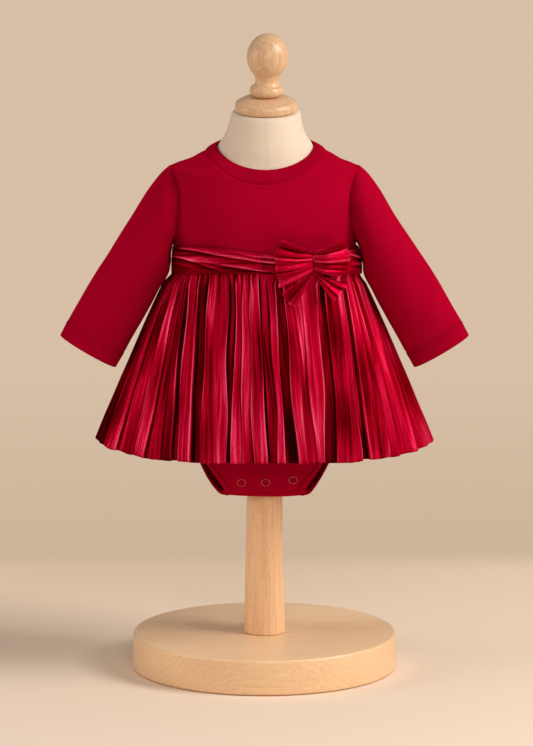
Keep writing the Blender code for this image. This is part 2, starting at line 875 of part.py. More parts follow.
def skirt_point(angle, down, low, waist_out, depth):
    """A point of a skirt layer, `depth` in from its ridges, and `waist_out` off the bodice at the waist."""
    top = waist_z(angle) + SKIRT_TUCK
    z = top + down * (low - top)
    share = min(1.0, down / WAIST_BLEND)
    share *= share * (3 - 2 * share)
    hung = ellipse_point(
        angle,
        z,
        read(SKIRT, "half_width", down, "down") - depth,
        read(SKIRT, "front", down, "down") - depth,
        read(SKIRT, "back", down, "down") - depth,
        BODY_POWER + (2.0 - BODY_POWER) * share,
    )
    return body_point(angle, z, waist_out) * (1 - share) + hung * share


def fold_depth(hem_depth, down):
    """A fold's depth grows from the gathers at the waist to the hem."""
    gathers = WAIST_DEPTH * min(1.0, hem_depth / NARROW_DEPTH)
    return gathers + (hem_depth - gathers) * down**FOLD_GROWTH


def pleat_columns(folds):
    """(waist angle, hem angle, hem depth) of each column of pleat points, over one half of the skirt."""
    columns = []
    for n in range(len(folds["hem"]) - 1):
        count = max(1, round((folds["hem"][n + 1] - folds["hem"][n]) / NARROW_PLEAT))
        for k in range(count):
            here = folds["depth"][n] if k == 0 else NARROW_DEPTH
            for share, depth in PLEAT_STEPS:
                place = (k + share) / count
                waist = folds["waist"][n] + place * (folds["waist"][n + 1] - folds["waist"][n])
                hem = folds["hem"][n] + place * (folds["hem"][n + 1] - folds["hem"][n])
                columns.append((waist, hem, here * depth))
    columns.append((folds["waist"][-1], folds["hem"][-1], folds["depth"][-1]))
    return columns


def add_skirt():
    """Pleated velvet front and back, joined at the side seams."""
    for name, folds, ahead in (("skirt_front", FRONT_FOLDS, 1), ("skirt_back", BACK_FOLDS, -1)):
        grid = []
        for down in SKIRT_ROWS:
            row = []
            for waist, hem, depth in pleat_columns(folds):
                angle = waist + (hem - waist) * down**FOLD_FAN
                angle = angle if ahead > 0 else 180 - angle
                at_waist = SKIRT_OUT - fold_depth(depth, 0)
                point = skirt_point(angle, down, hem_z(angle), at_waist, fold_depth(depth, down))
                point[1] -= ahead * SIDE_GAP
                row.append(point)
            grid.append(row)
        add_cloth(name, grid, "velvet", VELVET, (0, 0, 300))


def lining_point(angle, down):
    """The lining hangs straight inside the deepest folds, and its hem dips below the skirt's in places."""
    inset = fold_depth(LINING_FOLDS, down) + VELVET + 2 * SEAM_GAP
    around = (angle + 180) % 360 - 180
    dips = sum(
        math.exp(-(((around - LINING_DIPS["angle"][n]) / LINING_DIPS["spread"][n]) ** 2))
        for n in range(len(LINING_DIPS["angle"]))
    )
    return skirt_point(angle, down, LINING_HEM - LINING_DIP * min(1.0, dips), LINING_OUT, inset)


def add_lining():
    """Plain lining under the skirt, one ring."""
    grid = [[lining_point(10 * s, down) for s in range(36)] for down in SKIRT_ROWS]
    add_cloth("skirt_lining", grid, "lining", LINING, (0, 0, 300), closed=True)


def sash_point(angle, up):
    """The wrapped sash's outer face: it covers the skirt's gathers and narrows upwards onto the bodice."""
    around = (angle + 180) % 360 - 180
    low = waist_z(angle) + 0.3
    z = low + up * read(SASH_HEIGHT, "height", around, "angle")
    return body_point(angle, z, read(SASH, "out", up, "up"))


def add_sash():
    """Folded velvet sash, one closed ring whose join is under the bow."""
    grid = [[sash_point(10 * s, up) for s in range(36)] for up in SASH["up"]]
    add_cloth("sash", grid, "velvet", SASH_WALL, (0, 0, 450), closed=True)


def bow_point(rays, n, start_x, along, lift, out):
    """A point on ray n: `along` its length and lifted off the bow's slanting back."""
    x = start_x + along * (rays["end_x"][n] - start_x)
    z = rays["pinch_z"][n] + along * (rays["end_z"][n] - rays["pinch_z"][n])
    right = max(0.0, x - PINCH_X)
    back = PINCH_Y + BOW_SLOPE * (x - PINCH_X) + 0.004 * right**2
    return np.array((x, back - lift - out * rays["out"][n], z))


def add_bow_piece(name, rays, path, side, inside_lift):
    """A loop or a tail: its grid runs along the path on every ray."""
    start_x = PINCH_X + side * SEAM_GAP
    grid = [
        [
            bow_point(rays, n, start_x, path["along"][k], path["lift"][k], path["out"][k])
            for n in range(len(rays["end_x"]))
        ]
        for k in range(len(path["along"]))
    ]
    middle = len(rays["end_x"]) // 2
    inside = bow_point(rays, middle, start_x, 0.5, inside_lift, 0.0)
    add_cloth(name, grid, "velvet", VELVET, inside)


def add_bow():
    """Two loops folded back on themselves, and two tails, pinched together over the sash."""
    add_bow_piece("bow_loop_left", LOOP_LEFT, LOOP_PATH, -1, LOOP_MIDDLE)
    add_bow_piece("bow_loop_right", LOOP_RIGHT, LOOP_PATH, 1, LOOP_MIDDLE)
    add_bow_piece("bow_tail_left", TAIL_LEFT, TAIL_PATH, -1, TAIL_BEHIND)
    add_bow_piece("bow_tail_right", TAIL_RIGHT, TAIL_PATH, 1, TAIL_BEHIND)


for old in list(bpy.data.objects):
    bpy.data.objects.remove(old, do_unlink=True)
parts = collection("toddler_party_dress")
cutters = collection("cutters")
add_stand()
add_bodice()
add_neckband()
add_sleeves()
add_panty()
add_snaps()
add_skirt()
add_lining()
add_sash()
add_bow()
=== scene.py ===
"""Toddler party dress on its tabletop dress form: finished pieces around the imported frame.

Lengths are in millimetres until points become mesh vertices. +Z is up, -Y is the dress's front and +X the
side of its bow. Angles run round the body from 0 at centre front to 90 degrees at the +X side.
"""

import math

import bpy
import numpy as np
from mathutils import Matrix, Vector


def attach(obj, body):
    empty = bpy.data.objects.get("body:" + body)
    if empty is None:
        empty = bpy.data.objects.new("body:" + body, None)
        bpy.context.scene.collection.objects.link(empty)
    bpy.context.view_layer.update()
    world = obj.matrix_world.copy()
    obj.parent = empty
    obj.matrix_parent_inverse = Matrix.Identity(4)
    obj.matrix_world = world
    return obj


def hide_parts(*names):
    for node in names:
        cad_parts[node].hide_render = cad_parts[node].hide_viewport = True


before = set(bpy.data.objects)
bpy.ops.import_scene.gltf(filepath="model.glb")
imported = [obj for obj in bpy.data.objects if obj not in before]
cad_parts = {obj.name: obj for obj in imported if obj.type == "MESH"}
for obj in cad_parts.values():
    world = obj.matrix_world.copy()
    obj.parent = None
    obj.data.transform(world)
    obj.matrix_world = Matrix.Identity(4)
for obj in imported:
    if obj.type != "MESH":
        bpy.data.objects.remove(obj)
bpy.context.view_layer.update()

MM = 0.001

# Camera: the picture's scale and height, degrees it looks down, the point it looks at in millimetres, and
# how far off it stands in metres
MM_PER_PX = 1.0667
PICTURE_HIGH = 746
ELEVATION = 13.1
CENTRE_X = 2.1
CENTRE_Z = 321.4
CAMERA_AWAY = 3.0

# Stand
BASE_RADIUS = 140.0
BASE_HEIGHT = 38.5
BASE_EDGE = 3.0
POLE_RADIUS_LOW = 22.0
POLE_RADIUS_HIGH = 17.4
TORSO_BOTTOM = 262.0
TORSO_TOP = 608.0
NECK_PLATE_RADIUS = 33.7
COLLAR_RADIUS = 18.5
BALL_RADIUS = 22.3
BALL_HALF_HEIGHT = 25.0
BALL_CENTRE = 668.0
PLATE_TOP = 624.3
POLE_EDGE = 0.6

# Dress: how thick its cloths are, its gaps, and the heights of its seams and edges
KNIT = 1.2
BAND_WALL = 0.75
VELVET = 0.8
LINING = 0.7
SEAM_GAP = 0.3
HALF_GAP = 0.05  # how far fronts and backs each stand off the side seams
WAIST_SIDE = 431.0
WAIST_FRONT = 447.0
WAIST_BACK = 426.0
ARMPIT = 467.0
SHOULDER_TIP = 547.6
NECK_SEAM_SIDE = 565.0
NECK_SEAM_BACK = 563.0
SKIRT_TUCK = 5.0
LINING_OUT = 2.6  # the lining and the skirt stand this far off the bodice at the waist
SKIRT_OUT = 5.9
WAIST_BLEND = 0.09  # share of the skirt's height over which it leaves the bodice's shape
HEM_SIDE = 249.8
HEM_SLANT = 1.5
HEM_FRONT = 247.7
HEM_SAG = 2.6  # how much lower the hem hangs between its sides and its centre
LINING_HEM = 245.8
BODY_POWER = 2.2  # level cuts are superellipses of this power
WAIST_SHIFT = 3.2  # the waist sits this far towards the bow's side
POLE_HOLE_RADIUS = 21.5
HOLE_SIDES = 48
HOLE_ENDS = (170.0, 236.0)  # heights between which the pole's hole is cut

# Points inside the body, from which each cloth's outer face looks away
INSIDE_NECK = (0, 0, 520)
INSIDE_CHEST = (0, 0, 480)
INSIDE_WAIST = (0, 0, 450)
INSIDE_HIPS = (0, 0, 330)
INSIDE_SKIRT = (0, 0, 300)
INSIDE_SEAT = (0, 0, 280)


def table(text):
    """One array of numbers for each column that the text's first line names."""
    names, *rows = text.strip().splitlines()
    return dict(zip(names.split(), np.array([row.split() for row in rows], float).T))


def rows_of(columns):
    """A table's rows, each as a dictionary of its numbers."""
    return [dict(zip(columns, row)) for row in zip(*columns.values())]


# Level cuts through the bodice: cloth's outer face
BODY = table("""
z half_width front back
318 97 62 68
360 97 64 67
400 95 65 65
431 93.4 65.5 63.5
445 95.2 66.2 63.5
456 96.8 66.5 63.5
463 97.6 66.6 63.5
470 97.7 66.6 63.4
490 98.9 66.5 63
515 98.7 64 61
530 97.6 61 59
541 98.2 58.3 56.5
545 99.4 57.3 55.3
547.6 100 56.5 53.6
548.6 96.8 56.2 51.6
551 91.4 55.4 49.4
554.9 83 54.2 47.8
559 75.5 52.8 46.8
564.5 66 50.4 45.8
570 57 47.5 43.5
""")
# Where the panels end at the armhole, in degrees from their centre
ARMHOLE = table("""
z angle
467 90
471 84
478 76
495 67.8
515 67.2
530 71.9
541 79.8
547.6 90
""")
TORSO = table("""
z half_width front back power
262 42 30 30 2.2
266 62 42 43 2.2
276 78 51 54 2.2
292 88 56 60 2.2
318 92.5 58 63.5 2.2
360 93.3 60.5 63.5 2.2
400 90 61.5 61.5 2.2
431 87.6 62 60 2.2
456 90.6 62.7 59.7 2.2
490 94 62.7 59.2 2.2
515 94 60.2 57.2 2.2
530 93.4 57.2 55.2 2.2
541 92.6 54.2 52.4 2.2
546 90.4 52 50 2.2
549 86 50.2 46 2.12
552 78.5 48.2 44.4 2.03
556 66.5 46 42.8 1.97
560 57.8 45.2 41.6 1.93
565 53.2 44.9 41.4 1.9
570 50.9 44.4 40.2 1.9
574 48.8 44 39.5 1.92
580 44.6 43 38.9 1.96
588 41 41.3 38.4 2
598 38.4 39.1 37.8 2
604 37.4 37.6 37.2 2
606.5 36.4 36.6 36.3 2
607.7 35.3 35.5 35.2 2
608 34.3 34.3 34.3 2
""")
NECK_SEAM = table("""
turn angle z
0 0 541
21 11.3 544.5
41 24.4 552
64 52 561.7
90 90 565
""")
NECK_OPENING = {
    "half_width": 53.0,
    "front": 50.0,
    "back": 42.0,
    "z_side": 572.2,
    "z_front": 555.0,
    "z_back": 573.0,
}
NECK_ROUND = 1.45  # how round the neckline's front is; 1 would be a plain tilt
# How far everything above the shoulders stands towards the bow's side
LEAN = table("""
z x
548 0
562 1.2
585 0.9
608 1.6
640 2.6
692 3.8
""")
SLEEVE = table("""
ring outer_x outer_z inner_x inner_z half_depth
0 97.6 552.4 98.6 468 35.5
1 107.8 542.6 100.2 462 37
2 122.6 523 102.7 452.8 37.5
3 142.8 490.4 104.7 439.8 36
4 164.2 455.4 110.9 422 32.5
5 181.6 428.6 124.6 394.1 28.5
6 197 401.8 139 366.5 24
7 208.3 381.5 149.8 346.4 20
8 217.6 363 159.6 328.6 17.5
""")
# The left sleeve lies closer to the body at the underarm, and the right one's outer edge a little lower
SLEEVE_TRIM = table("""
ring left right outer
1 2 0.6 0
2 2.8 0.2 0.2
3 5 0.6 1.6
4 3.2 0.3 0.6
5 2.2 0 0
8 0.8 0 0
""")
SKIRT = table("""
down half_width front back
0 99.5 70.6 68.2
0.03 102.6 72.4 70.2
0.065 106.3 74.4 72.6
0.097 109.3 76.2 75
0.19 117.3 80 79
0.305 127 85.5 85
0.424 136.5 90.5 90
0.542 145.6 95.5 95
0.66 155 100.5 100
0.779 164 105 105
0.897 173.3 109.5 109.5
1 180.8 113.5 113.5
""")
# Pleat faces of each half of the skirt: where each starts at waist and hem in degrees, how deep the cloth
# lies just before and just after that edge, and how dark or bright the face is: its pile's own tone together
# with painted shade on faces beside deep folds and painted highlights on faces turned to the lights
FRONT_PLEATS = table("""
waist hem before after nap
-90 -90 0.4 0.4 -0.22
-80 -74.7 1 3 0.02
-72.5 -63.8 0.5 4 -0.02
-66.5 -53.1 2.5 3.5 0.14
-61.7 -46.3 1 5 -0.04
-58.7 -40 2.5 5 -0.12
-56.5 -34.9 5 14 -0.3
-54.4 -31.9 14 5 0.04
-45.2 -26.8 0.5 11 -0.3
-36.6 -23.1 13 4 -0.06
-31.6 -18.4 1 1.5 0.06
-23.5 -13.8 8 13 -0.3
-18.4 -11.4 12 2 0.04
-14.7 -7.3 4 1.5 0.14
-9.8 -3.9 6.5 2.5 -0.02
-4.5 0.7 1.5 14 -0.34
-3.3 1.4 14 6 -0.14
0.3 4.9 4 2 0.06
6.2 7.6 5 13 -0.32
9.8 12.1 13.5 3 0.02
16 15.4 1 2.2 0.12
21.5 18.2 4 2 0.08
35.1 22 6 12 -0.26
39.6 26.8 8 3 -0.12
47.7 31.8 1.5 2 0.04
55.4 37.2 6 13 -0.3
58.7 40.7 13 4 -0.03
66.4 50.8 1.5 4 -0.04
71.4 56 3 4.5 0.04
81.3 67.4 1 3.5 0
90 90 0.4 0.4 0
""")
BACK_PLEATS = table("""
waist hem before after nap
-90 -90 0.4 0.4 0
-79 -72 1 3.5 0.04
-70 -58 1 4 -0.06
-61 -49 3 12 -0.3
-58 -46 12.5 3 0.04
-52 -39 1 4 -0.04
-46 -33 5 2 0.1
-39 -27.5 5.5 13 -0.3
-35 -24.5 13 4 -0.06
-29 -19 1 4.5 0.06
-22 -14.5 3 5 -0.08
-16 -10 6 13.5 -0.32
-12 -7.5 13 2.5 0.02
-6 -3 4.5 1.5 0.12
0 1.5 6 3 -0.06
6 6 1 12 -0.3
9 8.4 12.5 4 -0.04
16 13.5 2 4 0.05
23 18.5 6 2 0.1
30 23.5 5 13 -0.3
34 27 13 3 -0.08
41 33 1 4.5 0.03
48 39.5 4 11 -0.28
52 43 11.5 3 0.05
61 51 1 4 -0.04
70 60 2.5 4 0.04
80 73 1 3 -0.02
90 90 0.4 0.4 0
""")
GATHERS = 50  # small gathers along the waist of one half
HEM_HALF_GIRTH = 465.0
HEM_PER_DEGREE = 2.9
COLUMN_PITCH = 1.3
PLEAT_SHIFT = 0.037  # how far each pleat face's surface is moved along, so that its pattern differs
WAIST_DEPTH = 1.6  # deepest fold at the waist seam itself
FOLD_GROWTH = 0.62  # folds deepen with this power of the way down
FOLD_FAN = 0.6  # and spread from their waist angles to their hem angles with this one
LINING_DIP = 3.6  # how far the lining's hem dips at these angles
LINING_DIPS = table("""
angle spread
-29 9
27 15
""")
PANTY_FRONT = table("""
z half_width edge centre
199.5 41 35.5 38.5
208 46.5 36 41
222 55.5 36 46
240 67.5 33 50.5
258 79 27 54.5
275 88 19 57.5
291 94 9 60
306 97 0 61.3
318 97 0 62
360 97 0 64
400 95 0 65
424 93.6 0 65.4
""")
PANTY_HIGH = 424.0
LEG_TOP = 306.0
FLAP_LOW = 199.5
PANTY_BACK = table("""
row centre_y centre_z half_width edge_y edge_z
0 65 400 95 0 400
1 67 360 97 0 360
2 68 325 97 0 318
3 68 308 97 0 306
4 67 286 94 22 282
5 60 256 84.5 33 256
6 48 232 76 30 235
7 30 211 68 18 219
8 10 199 60 2 207
9 -10 193.5 53 -14 200
10 -24 192 48 -26 197
11 -33 194.5 45 -32.5 198
""")
# Rows of the panty's back: its last one, those of the tab beyond it, and where the leg edges start and end
BACK_ROWS = 11
TAB_ROWS = 3
BACK_LEG_TOP = 3
BACK_LEG_END = 10.8
TAB_LOW = 203.0
TAB_HIGH = 221.0
TAB_SHARE = 0.91  # the tab's width as a share of the flap's
TAB_BEHIND = 3.3  # how far it lies behind the flap
BINDING_WALL = 0.6
# A binding's rows: how far in from the leg edge, and how high above the panel
BINDING = table("""
far lift
0 0.2
0.4 0.75
1.2 0.95
3 0.85
5.5 0.8
8 0.75
9 0.55
""")
SNAP_STEPS = 60
SNAP_SIDES = 10
SNAPS = table("""
x z
-24.5 211
1.2 211.5
30.5 214
""")
SNAP_RING = 4.4  # a snap's radius, to the middle of its wire
SNAP_WIRE = 0.5

# The sash: how far off the bodice it lies from its lower to its upper edge, and how tall it is round the body
SASH = table("""
up out
0 8.6
0.16 9.2
0.36 8.2
0.6 7.6
0.82 5.4
1 3.4
""")
SASH_HEIGHT = table("""
angle height
-180 28
-90 27.5
-45 30
-15 25.5
8 19.5
32 19.5
60 26
90 28.6
130 29
180 28
""")
# Sash's laps: the line of each lap's lower edge, as angle and share of the sash's height at three points
SASH_LAPS = table("""
angle0 up0 angle1 up1 angle2 up2 depth
-70 0.97 -35 0.76 14 0.52 2
-76 0.66 -46 0.42 -25 0.08 1.7
-50 0.46 -16 0.27 12 -0.04 1.8
-92 0.36 -62 0.3 -50 0.2 0.9
56 0.88 72 0.62 96 0.56 1.8
58 0.3 76 0.34 94 0.2 1.5
98 0.62 124 0.4 168 0.46 1.8
104 0.3 128 0.16 150 0.12 1.2
140 0.8 176 0.72 214 0.86 1.6
172 0.3 205 0.44 246 0.34 1.8
222 0.66 250 0.56 274 0.7 1.4
-20 0.86 4 0.8 18 0.84 1
""")

# The bow: where it is pinched, how the chest falls back beside it, and the rays of each loop and tail with
# their heights at the pinch, their ends and how far their ridges stand out; then how far each step of a loop
# or tail has got along its rays, how high it lifts and how much of the ridges it has
PINCH_X = 52.3
PINCH_Y = -68.1
BOW_SLOPE = 0.24
LOOP_LEFT = table("""
ray pinch_z end_x end_z out
0 470 17.6 486 1
1 467 14 478 -1.5
2 463.5 11 469.5 3
3 460 11 459 -0.5
4 456.5 12.5 450.5 3
5 453 14 441.5 -1
6 450 15.5 433 2
""")
LOOP_RIGHT = table("""
ray pinch_z end_x end_z out
0 470 85.3 480.5 1
1 466.5 88.6 472.5 -1.5
2 462.5 91.2 463 3
3 458.5 90.5 455.5 -0.5
4 454.5 88 448.5 2.5
5 450.5 83.4 442 0.5
""")
TAIL_LEFT = table("""
ray pinch_z end_x end_z out
0 448.2 19 430 1
1 447.4 24 419.5 -1
2 446.6 29 416.5 2
3 445.8 33.6 414.5 0.5
""")
TAIL_RIGHT = table("""
ray pinch_z end_x end_z out
0 448.4 88 434.5 1
1 447.6 84 427.7 -1
2 446.8 78.5 422 2
3 446 73 416.7 0.5
""")
LOOP_PATH = table("""
step along lift out
0 0 3.4 0
1 0.18 6.4 0.5
2 0.45 9.6 1
3 0.75 9.4 0.9
4 0.95 7.2 0.6
5 1 4.2 0.4
6 0.95 1.6 0.2
7 0.5 0.7 0
8 0.03 0.7 0
""")
TAIL_PATH = table("""
step along lift out
0 0 1.1 0
1 0.3 6 0.6
2 0.65 11 1
3 1 15 1
""")

# Soft creases, in millimetres across and up each piece: middle, turn in degrees, half-length, width, depth
BODICE_CREASES = table("""
u v turn length width depth
-88 40 70 20 8 2
-72 30 38 22 7 0.7
88 42 110 20 8 2
70 32 145 22 7 0.7
-38 24 12 24 10 0.5
24 30 170 26 11 0.5
""")
SLEEVE_CREASES = table("""
u v turn length width depth
32 11 78 18 7 4.5
58 34 20 30 9 1.2
40 58 155 30 10 0.7
-62 40 150 34 9 1.4
-38 74 25 26 10 0.7
24 118 10 20 10 0.4
66 150 160 22 9 0.5
""")

# Curves through the tables


def curve(rows, column, key="z"):
    """A smooth curve through a table's column that never overshoots its rows."""
    xs = rows[key]
    ys = rows[column]
    slopes = np.diff(ys) / np.diff(xs)
    tangents = np.zeros(len(xs))
    tangents[0] = slopes[0]
    tangents[-1] = slopes[-1]
    rising = slopes[:-1] * slopes[1:] > 0
    total = np.where(rising, slopes[:-1] + slopes[1:], 1.0)
    tangents[1:-1] = np.where(rising, 2 * slopes[:-1] * slopes[1:] / total, 0.0)

    def at(x):
        x = np.clip(np.asarray(x, float), xs[0], xs[-1])
        n = np.clip(np.searchsorted(xs, x) - 1, 0, len(xs) - 2)
        width = xs[n + 1] - xs[n]
        t = (x - xs[n]) / width
        return (
            ys[n] * (1 + 2 * t) * (1 - t) ** 2
            + ys[n + 1] * t * t * (3 - 2 * t)
            + width * t * (1 - t) * (tangents[n] * (1 - t) - tangents[n + 1] * t)
        )

    return at


def curves(rows, key="z"):
    """One curve for each of a table's other columns."""
    return {name: curve(rows, name, key) for name in rows if name != key}


body_at = curves(BODY)
armhole_at = curves(ARMHOLE)
neck_seam_at = curves(NECK_SEAM, "turn")
sleeve_at = curves(SLEEVE, "ring")
trim_at = curves(SLEEVE_TRIM, "ring")
skirt_at = curves(SKIRT, "down")
panty_front_at = curves(PANTY_FRONT)
panty_back_at = curves(PANTY_BACK, "row")
sash_at = curves(SASH, "up")
sash_height_at = curves(SASH_HEIGHT, "angle")
lean_at = curve(LEAN, "x")


def smooth(t):
    """0 below 0, 1 above 1, and an even S between."""
    t = np.clip(t, 0.0, 1.0)
    return t * t * (3 - 2 * t)


def bell(far, wide):
    """1 where far is 0, falling to about a third at `wide` on both sides."""
    return np.exp(-((far / wide) ** 2))


def blend(a, b, share):
    """a where share is 0, b where it is 1, and in between on the way."""
    return a * (1 - share) + b * share


def bend(value, power):
    """value to a superellipse's power, with its sign kept."""
    return np.sign(value) * np.abs(value) ** (2 / power)


def swell(seed, count, low, high):
    """A repeatable rolling pattern over (u, v), about -1 to 1, of low to high cycles per unit."""
    draw = np.random.default_rng(seed)
    turn = draw.uniform(0, 2 * np.pi, count)
    pace = draw.uniform(low, high, count) * 2 * np.pi
    phase = draw.uniform(0, 2 * np.pi, count)

    def at(u, v):
        total = 0.0
        for n in range(count):
            along = u * math.cos(turn[n]) + v * math.sin(turn[n])
            total = total + np.sin(along * pace[n] + phase[n])
        return total / math.sqrt(count)

    return at


def stack(x, y, z):
    """Points from their coordinates, on the last axis."""
    return np.stack(np.broadcast_arrays(x, y, z), axis=-1).astype(float)


def level_points(angle, z, half_width, front, back, power=2.0):
    """Points of level superellipses at angles in degrees from centre front."""
    across = bend(np.sin(np.radians(angle)), power)
    ahead = bend(np.cos(np.radians(angle)), power)
    return stack(half_width * across, -np.where(ahead > 0, front, back) * ahead, z)


def body_points(angle, z, out=0.0):
    """Points of the bodice's outer face, or `out` beyond it."""
    half_width, front, back = (body_at[k](z) + out for k in ("half_width", "front", "back"))
    behind = np.cos(np.radians(angle)) < 0
    power = BODY_POWER - 0.5 * smooth((z - 547) / 10) * behind
    points = level_points(angle, z, half_width, front, back, power)
    z = np.asarray(z, float)
    points[..., 0] += WAIST_SHIFT * np.exp(-(((z - 445) / np.where(z < 445, 26, 9)) ** 2))
    points[..., 0] += lean_at(z)
    return points


def waist_z(angle):
    """Height of the waist seam, which rises to the front and dips a little at the back."""
    ahead = np.cos(np.radians(angle))
    slope = (WAIST_FRONT - WAIST_BACK) / 2
    lift = (WAIST_FRONT + WAIST_BACK) / 2 - WAIST_SIDE
    return WAIST_SIDE + slope * ahead + lift * (np.hypot(ahead, 0.15) - 0.15)


def neck_seam(turn):
    """The neckline's seam at the neckband's angle: the bodice's angle there, and the height."""
    around = np.abs((turn + 180) % 360 - 180)
    back_z = NECK_SEAM_SIDE - (NECK_SEAM_BACK - NECK_SEAM_SIDE) * np.cos(np.radians(turn))
    front_angle = np.copysign(neck_seam_at["angle"](around), np.sin(np.radians(turn)))
    angle = np.where(around >= 90, turn, front_angle)
    return angle, np.where(around >= 90, back_z, neck_seam_at["z"](around))


# Meshes


def unit(vectors):
    """The same directions at length 1."""
    return vectors / np.maximum(np.linalg.norm(vectors, axis=-1, keepdims=True), 1e-9)


def normals_of(grid, closed=False):
    """Unit normals of a grid of points, from its neighbouring rows and columns."""
    if closed:
        along = np.roll(grid, -1, axis=1) - np.roll(grid, 1, axis=1)
    else:
        along = np.gradient(grid, axis=1)
    return unit(np.cross(along, np.gradient(grid, axis=0)))


def distances(path):
    """How far each point lies along a path."""
    steps = np.linalg.norm(np.diff(path, axis=0), axis=1)
    return np.concatenate(([0], np.cumsum(steps)))


def read_at(spots, far, values):
    """Rows of values read at spots along a path, whose own points are `far` along it."""
    return np.stack([np.interp(spots, far, column) for column in np.transpose(values)], axis=-1)


def outward(grid, normals, inside):
    """1 or -1, by which the normals look away from a point or line of points."""
    away = grid - np.asarray(inside, float)
    return 1.0 if np.sum(normals * away) > 0 else -1.0


def pushed(grid, amount, inside, closed=False):
    """The grid moved out by an amount in millimetres at each point."""
    normals = normals_of(grid, closed)
    return grid + normals * outward(grid, normals, inside) * np.asarray(amount)[..., None]


def crease_depth(creases, u, v):
    """Troughs with a soft ridge beside each, from a table of creases; u and v in millimetres."""
    total = np.zeros(np.broadcast(u, v).shape)
    for crease in rows_of(creases):
        turn = math.radians(crease["turn"])
        du = u - crease["u"]
        dv = v - crease["v"]
        along = (du * math.cos(turn) + dv * math.sin(turn)) / crease["length"]
        across = (dv * math.cos(turn) - du * math.sin(turn)) / crease["width"]
        trough = np.exp(-(across**2)) - 0.55 * np.exp(-((across - 1.5) ** 2))
        total -= crease["depth"] * trough * np.exp(-np.abs(along) ** 3)
    return total


def add_object(name, data):
    """A new object in the scene."""
    made = bpy.data.objects.new(name, data)
    bpy.context.scene.collection.objects.link(made)
    return made


def add_mesh(name, points, faces, material, uv=None):
    """A mesh object from points in millimetres, with cloth lengths in metres as its UV map."""
    mesh = bpy.data.meshes.new(name)
    mesh.from_pydata((np.asarray(points, float) * MM).tolist(), [], faces)
    mesh.materials.append(material)
    if uv is not None:
        layer = mesh.uv_layers.new(name="cloth")
        loops = np.zeros(len(mesh.loops), int)
        mesh.loops.foreach_get("vertex_index", loops)
        layer.data.foreach_set("uv", np.asarray(uv, float)[loops].ravel())
    mesh.shade_smooth()
    return add_object(name, mesh)


def grid_faces(rows, columns, closed=False, flip=False, looped=False):
    """Quads between neighbouring rows, closed round each row, and looped from the last row to the first."""
    faces = []
    for r in range(rows if looped else rows - 1):
        for c in range(columns if closed else columns - 1):
            low = r * columns
            high = (r + 1) % rows * columns
            d = (c + 1) % columns
            quad = (low + c, low + d, high + d, high + c)
            faces.append(quad[::-1] if flip else quad)
    return faces


def tube_faces(rings, sides):
    """Faces of a tube with a flat cap at either end."""
    caps = [range(sides)[::-1], range((rings - 1) * sides, rings * sides)]
    return grid_faces(rings, sides, closed=True) + caps


def turns_of(count):
    """Angles in radians, evenly spaced round a circle."""
    return 2 * np.pi * np.arange(count) / count


def lengths_along(grid, axis):
    """How far each point lies along its row or column, in metres."""
    steps = np.linalg.norm(np.diff(grid, axis=axis), axis=2) * MM
    zero = np.zeros_like(np.take(steps, [0], axis=axis))
    return np.cumsum(np.concatenate((zero, steps), axis=axis), axis=axis)


def add_cloth(
    name, grid, wall, material, inside, closed=False, flip=None, shift=0.0, sideways=False, nap=None
):
    """A cloth wall whose outer face is a grid of points, thickened towards `inside`.

    shift moves columns apart in the UV map; sideways swaps its axes, for cloth whose length runs round.
    The last argument is how much darker or brighter the pile is at each point: its own tone together with
    painted shade and painted highlights.
    """
    rows, columns = grid.shape[:2]
    if flip is None:
        flip = outward(grid, normals_of(grid, closed), inside) < 0
    across = np.median(lengths_along(grid, 1), axis=0) + shift
    uv = np.stack(np.broadcast_arrays(across[None, :], lengths_along(grid, 0)), axis=-1)
    if sideways:
        uv = uv[..., ::-1]
    faces = grid_faces(rows, columns, closed, flip)
    made = add_mesh(name, grid.reshape(-1, 3), faces, material, uv.reshape(-1, 2))
    if nap is not None:
        tones = made.data.attributes.new("nap", "FLOAT", "POINT")
        tones.data.foreach_set("value", np.broadcast_to(nap, (rows, columns)).astype(np.float32).ravel())
    shell = made.modifiers.new("wall", "SOLIDIFY")
    shell.thickness = wall * MM
    shell.offset = -1
    shell.use_rim = True
    return made


def join_up(made, slot, *nodes):
    """The piece rides on the frame, in place of its CAD nodes; slot is not used."""
    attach(made, "root")
    if nodes:
        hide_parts(*nodes)
    return made


def add_turned(name, profile, sides, material):
    """A closed turned piece from (radius, height) pairs that run from the top's centre to the bottom's."""
    turn = turns_of(sides)
    rings = [(r * np.cos(turn) + lean_at(z), r * np.sin(turn), 0 * turn + z) for r, z in profile[1:-1]]
    top, bottom = ((float(lean_at(z)), 0.0, z) for _, z in (profile[0], profile[-1]))
    points = np.concatenate([np.transpose(ring) for ring in rings] + [(top, bottom)])
    faces = grid_faces(len(rings), sides, closed=True, flip=True)
    last = (len(rings) - 1) * sides
    end = last + sides
    for s in range(sides):
        d = (s + 1) % sides
        faces += [(end, s, d), (end + 1, last + d, last + s)]
    made = add_mesh(name, points, faces, material)
    made.data.set_sharp_from_angle(angle=math.radians(40))
    return made


def arc(centre, radii, start, end, count):
    """Profile points on an ellipse's arc, with angles in degrees up from level."""
    turns = np.radians(np.linspace(start, end, count))
    return [(centre[0] + radii[0] * math.cos(t), centre[1] + radii[1] * math.sin(t)) for t in turns]


STITCH_SIDES = 6
STITCH_SHARES = np.array((0.0, 0.12, 0.5, 0.88, 1.0))  # a stitch's rings, as shares of its length


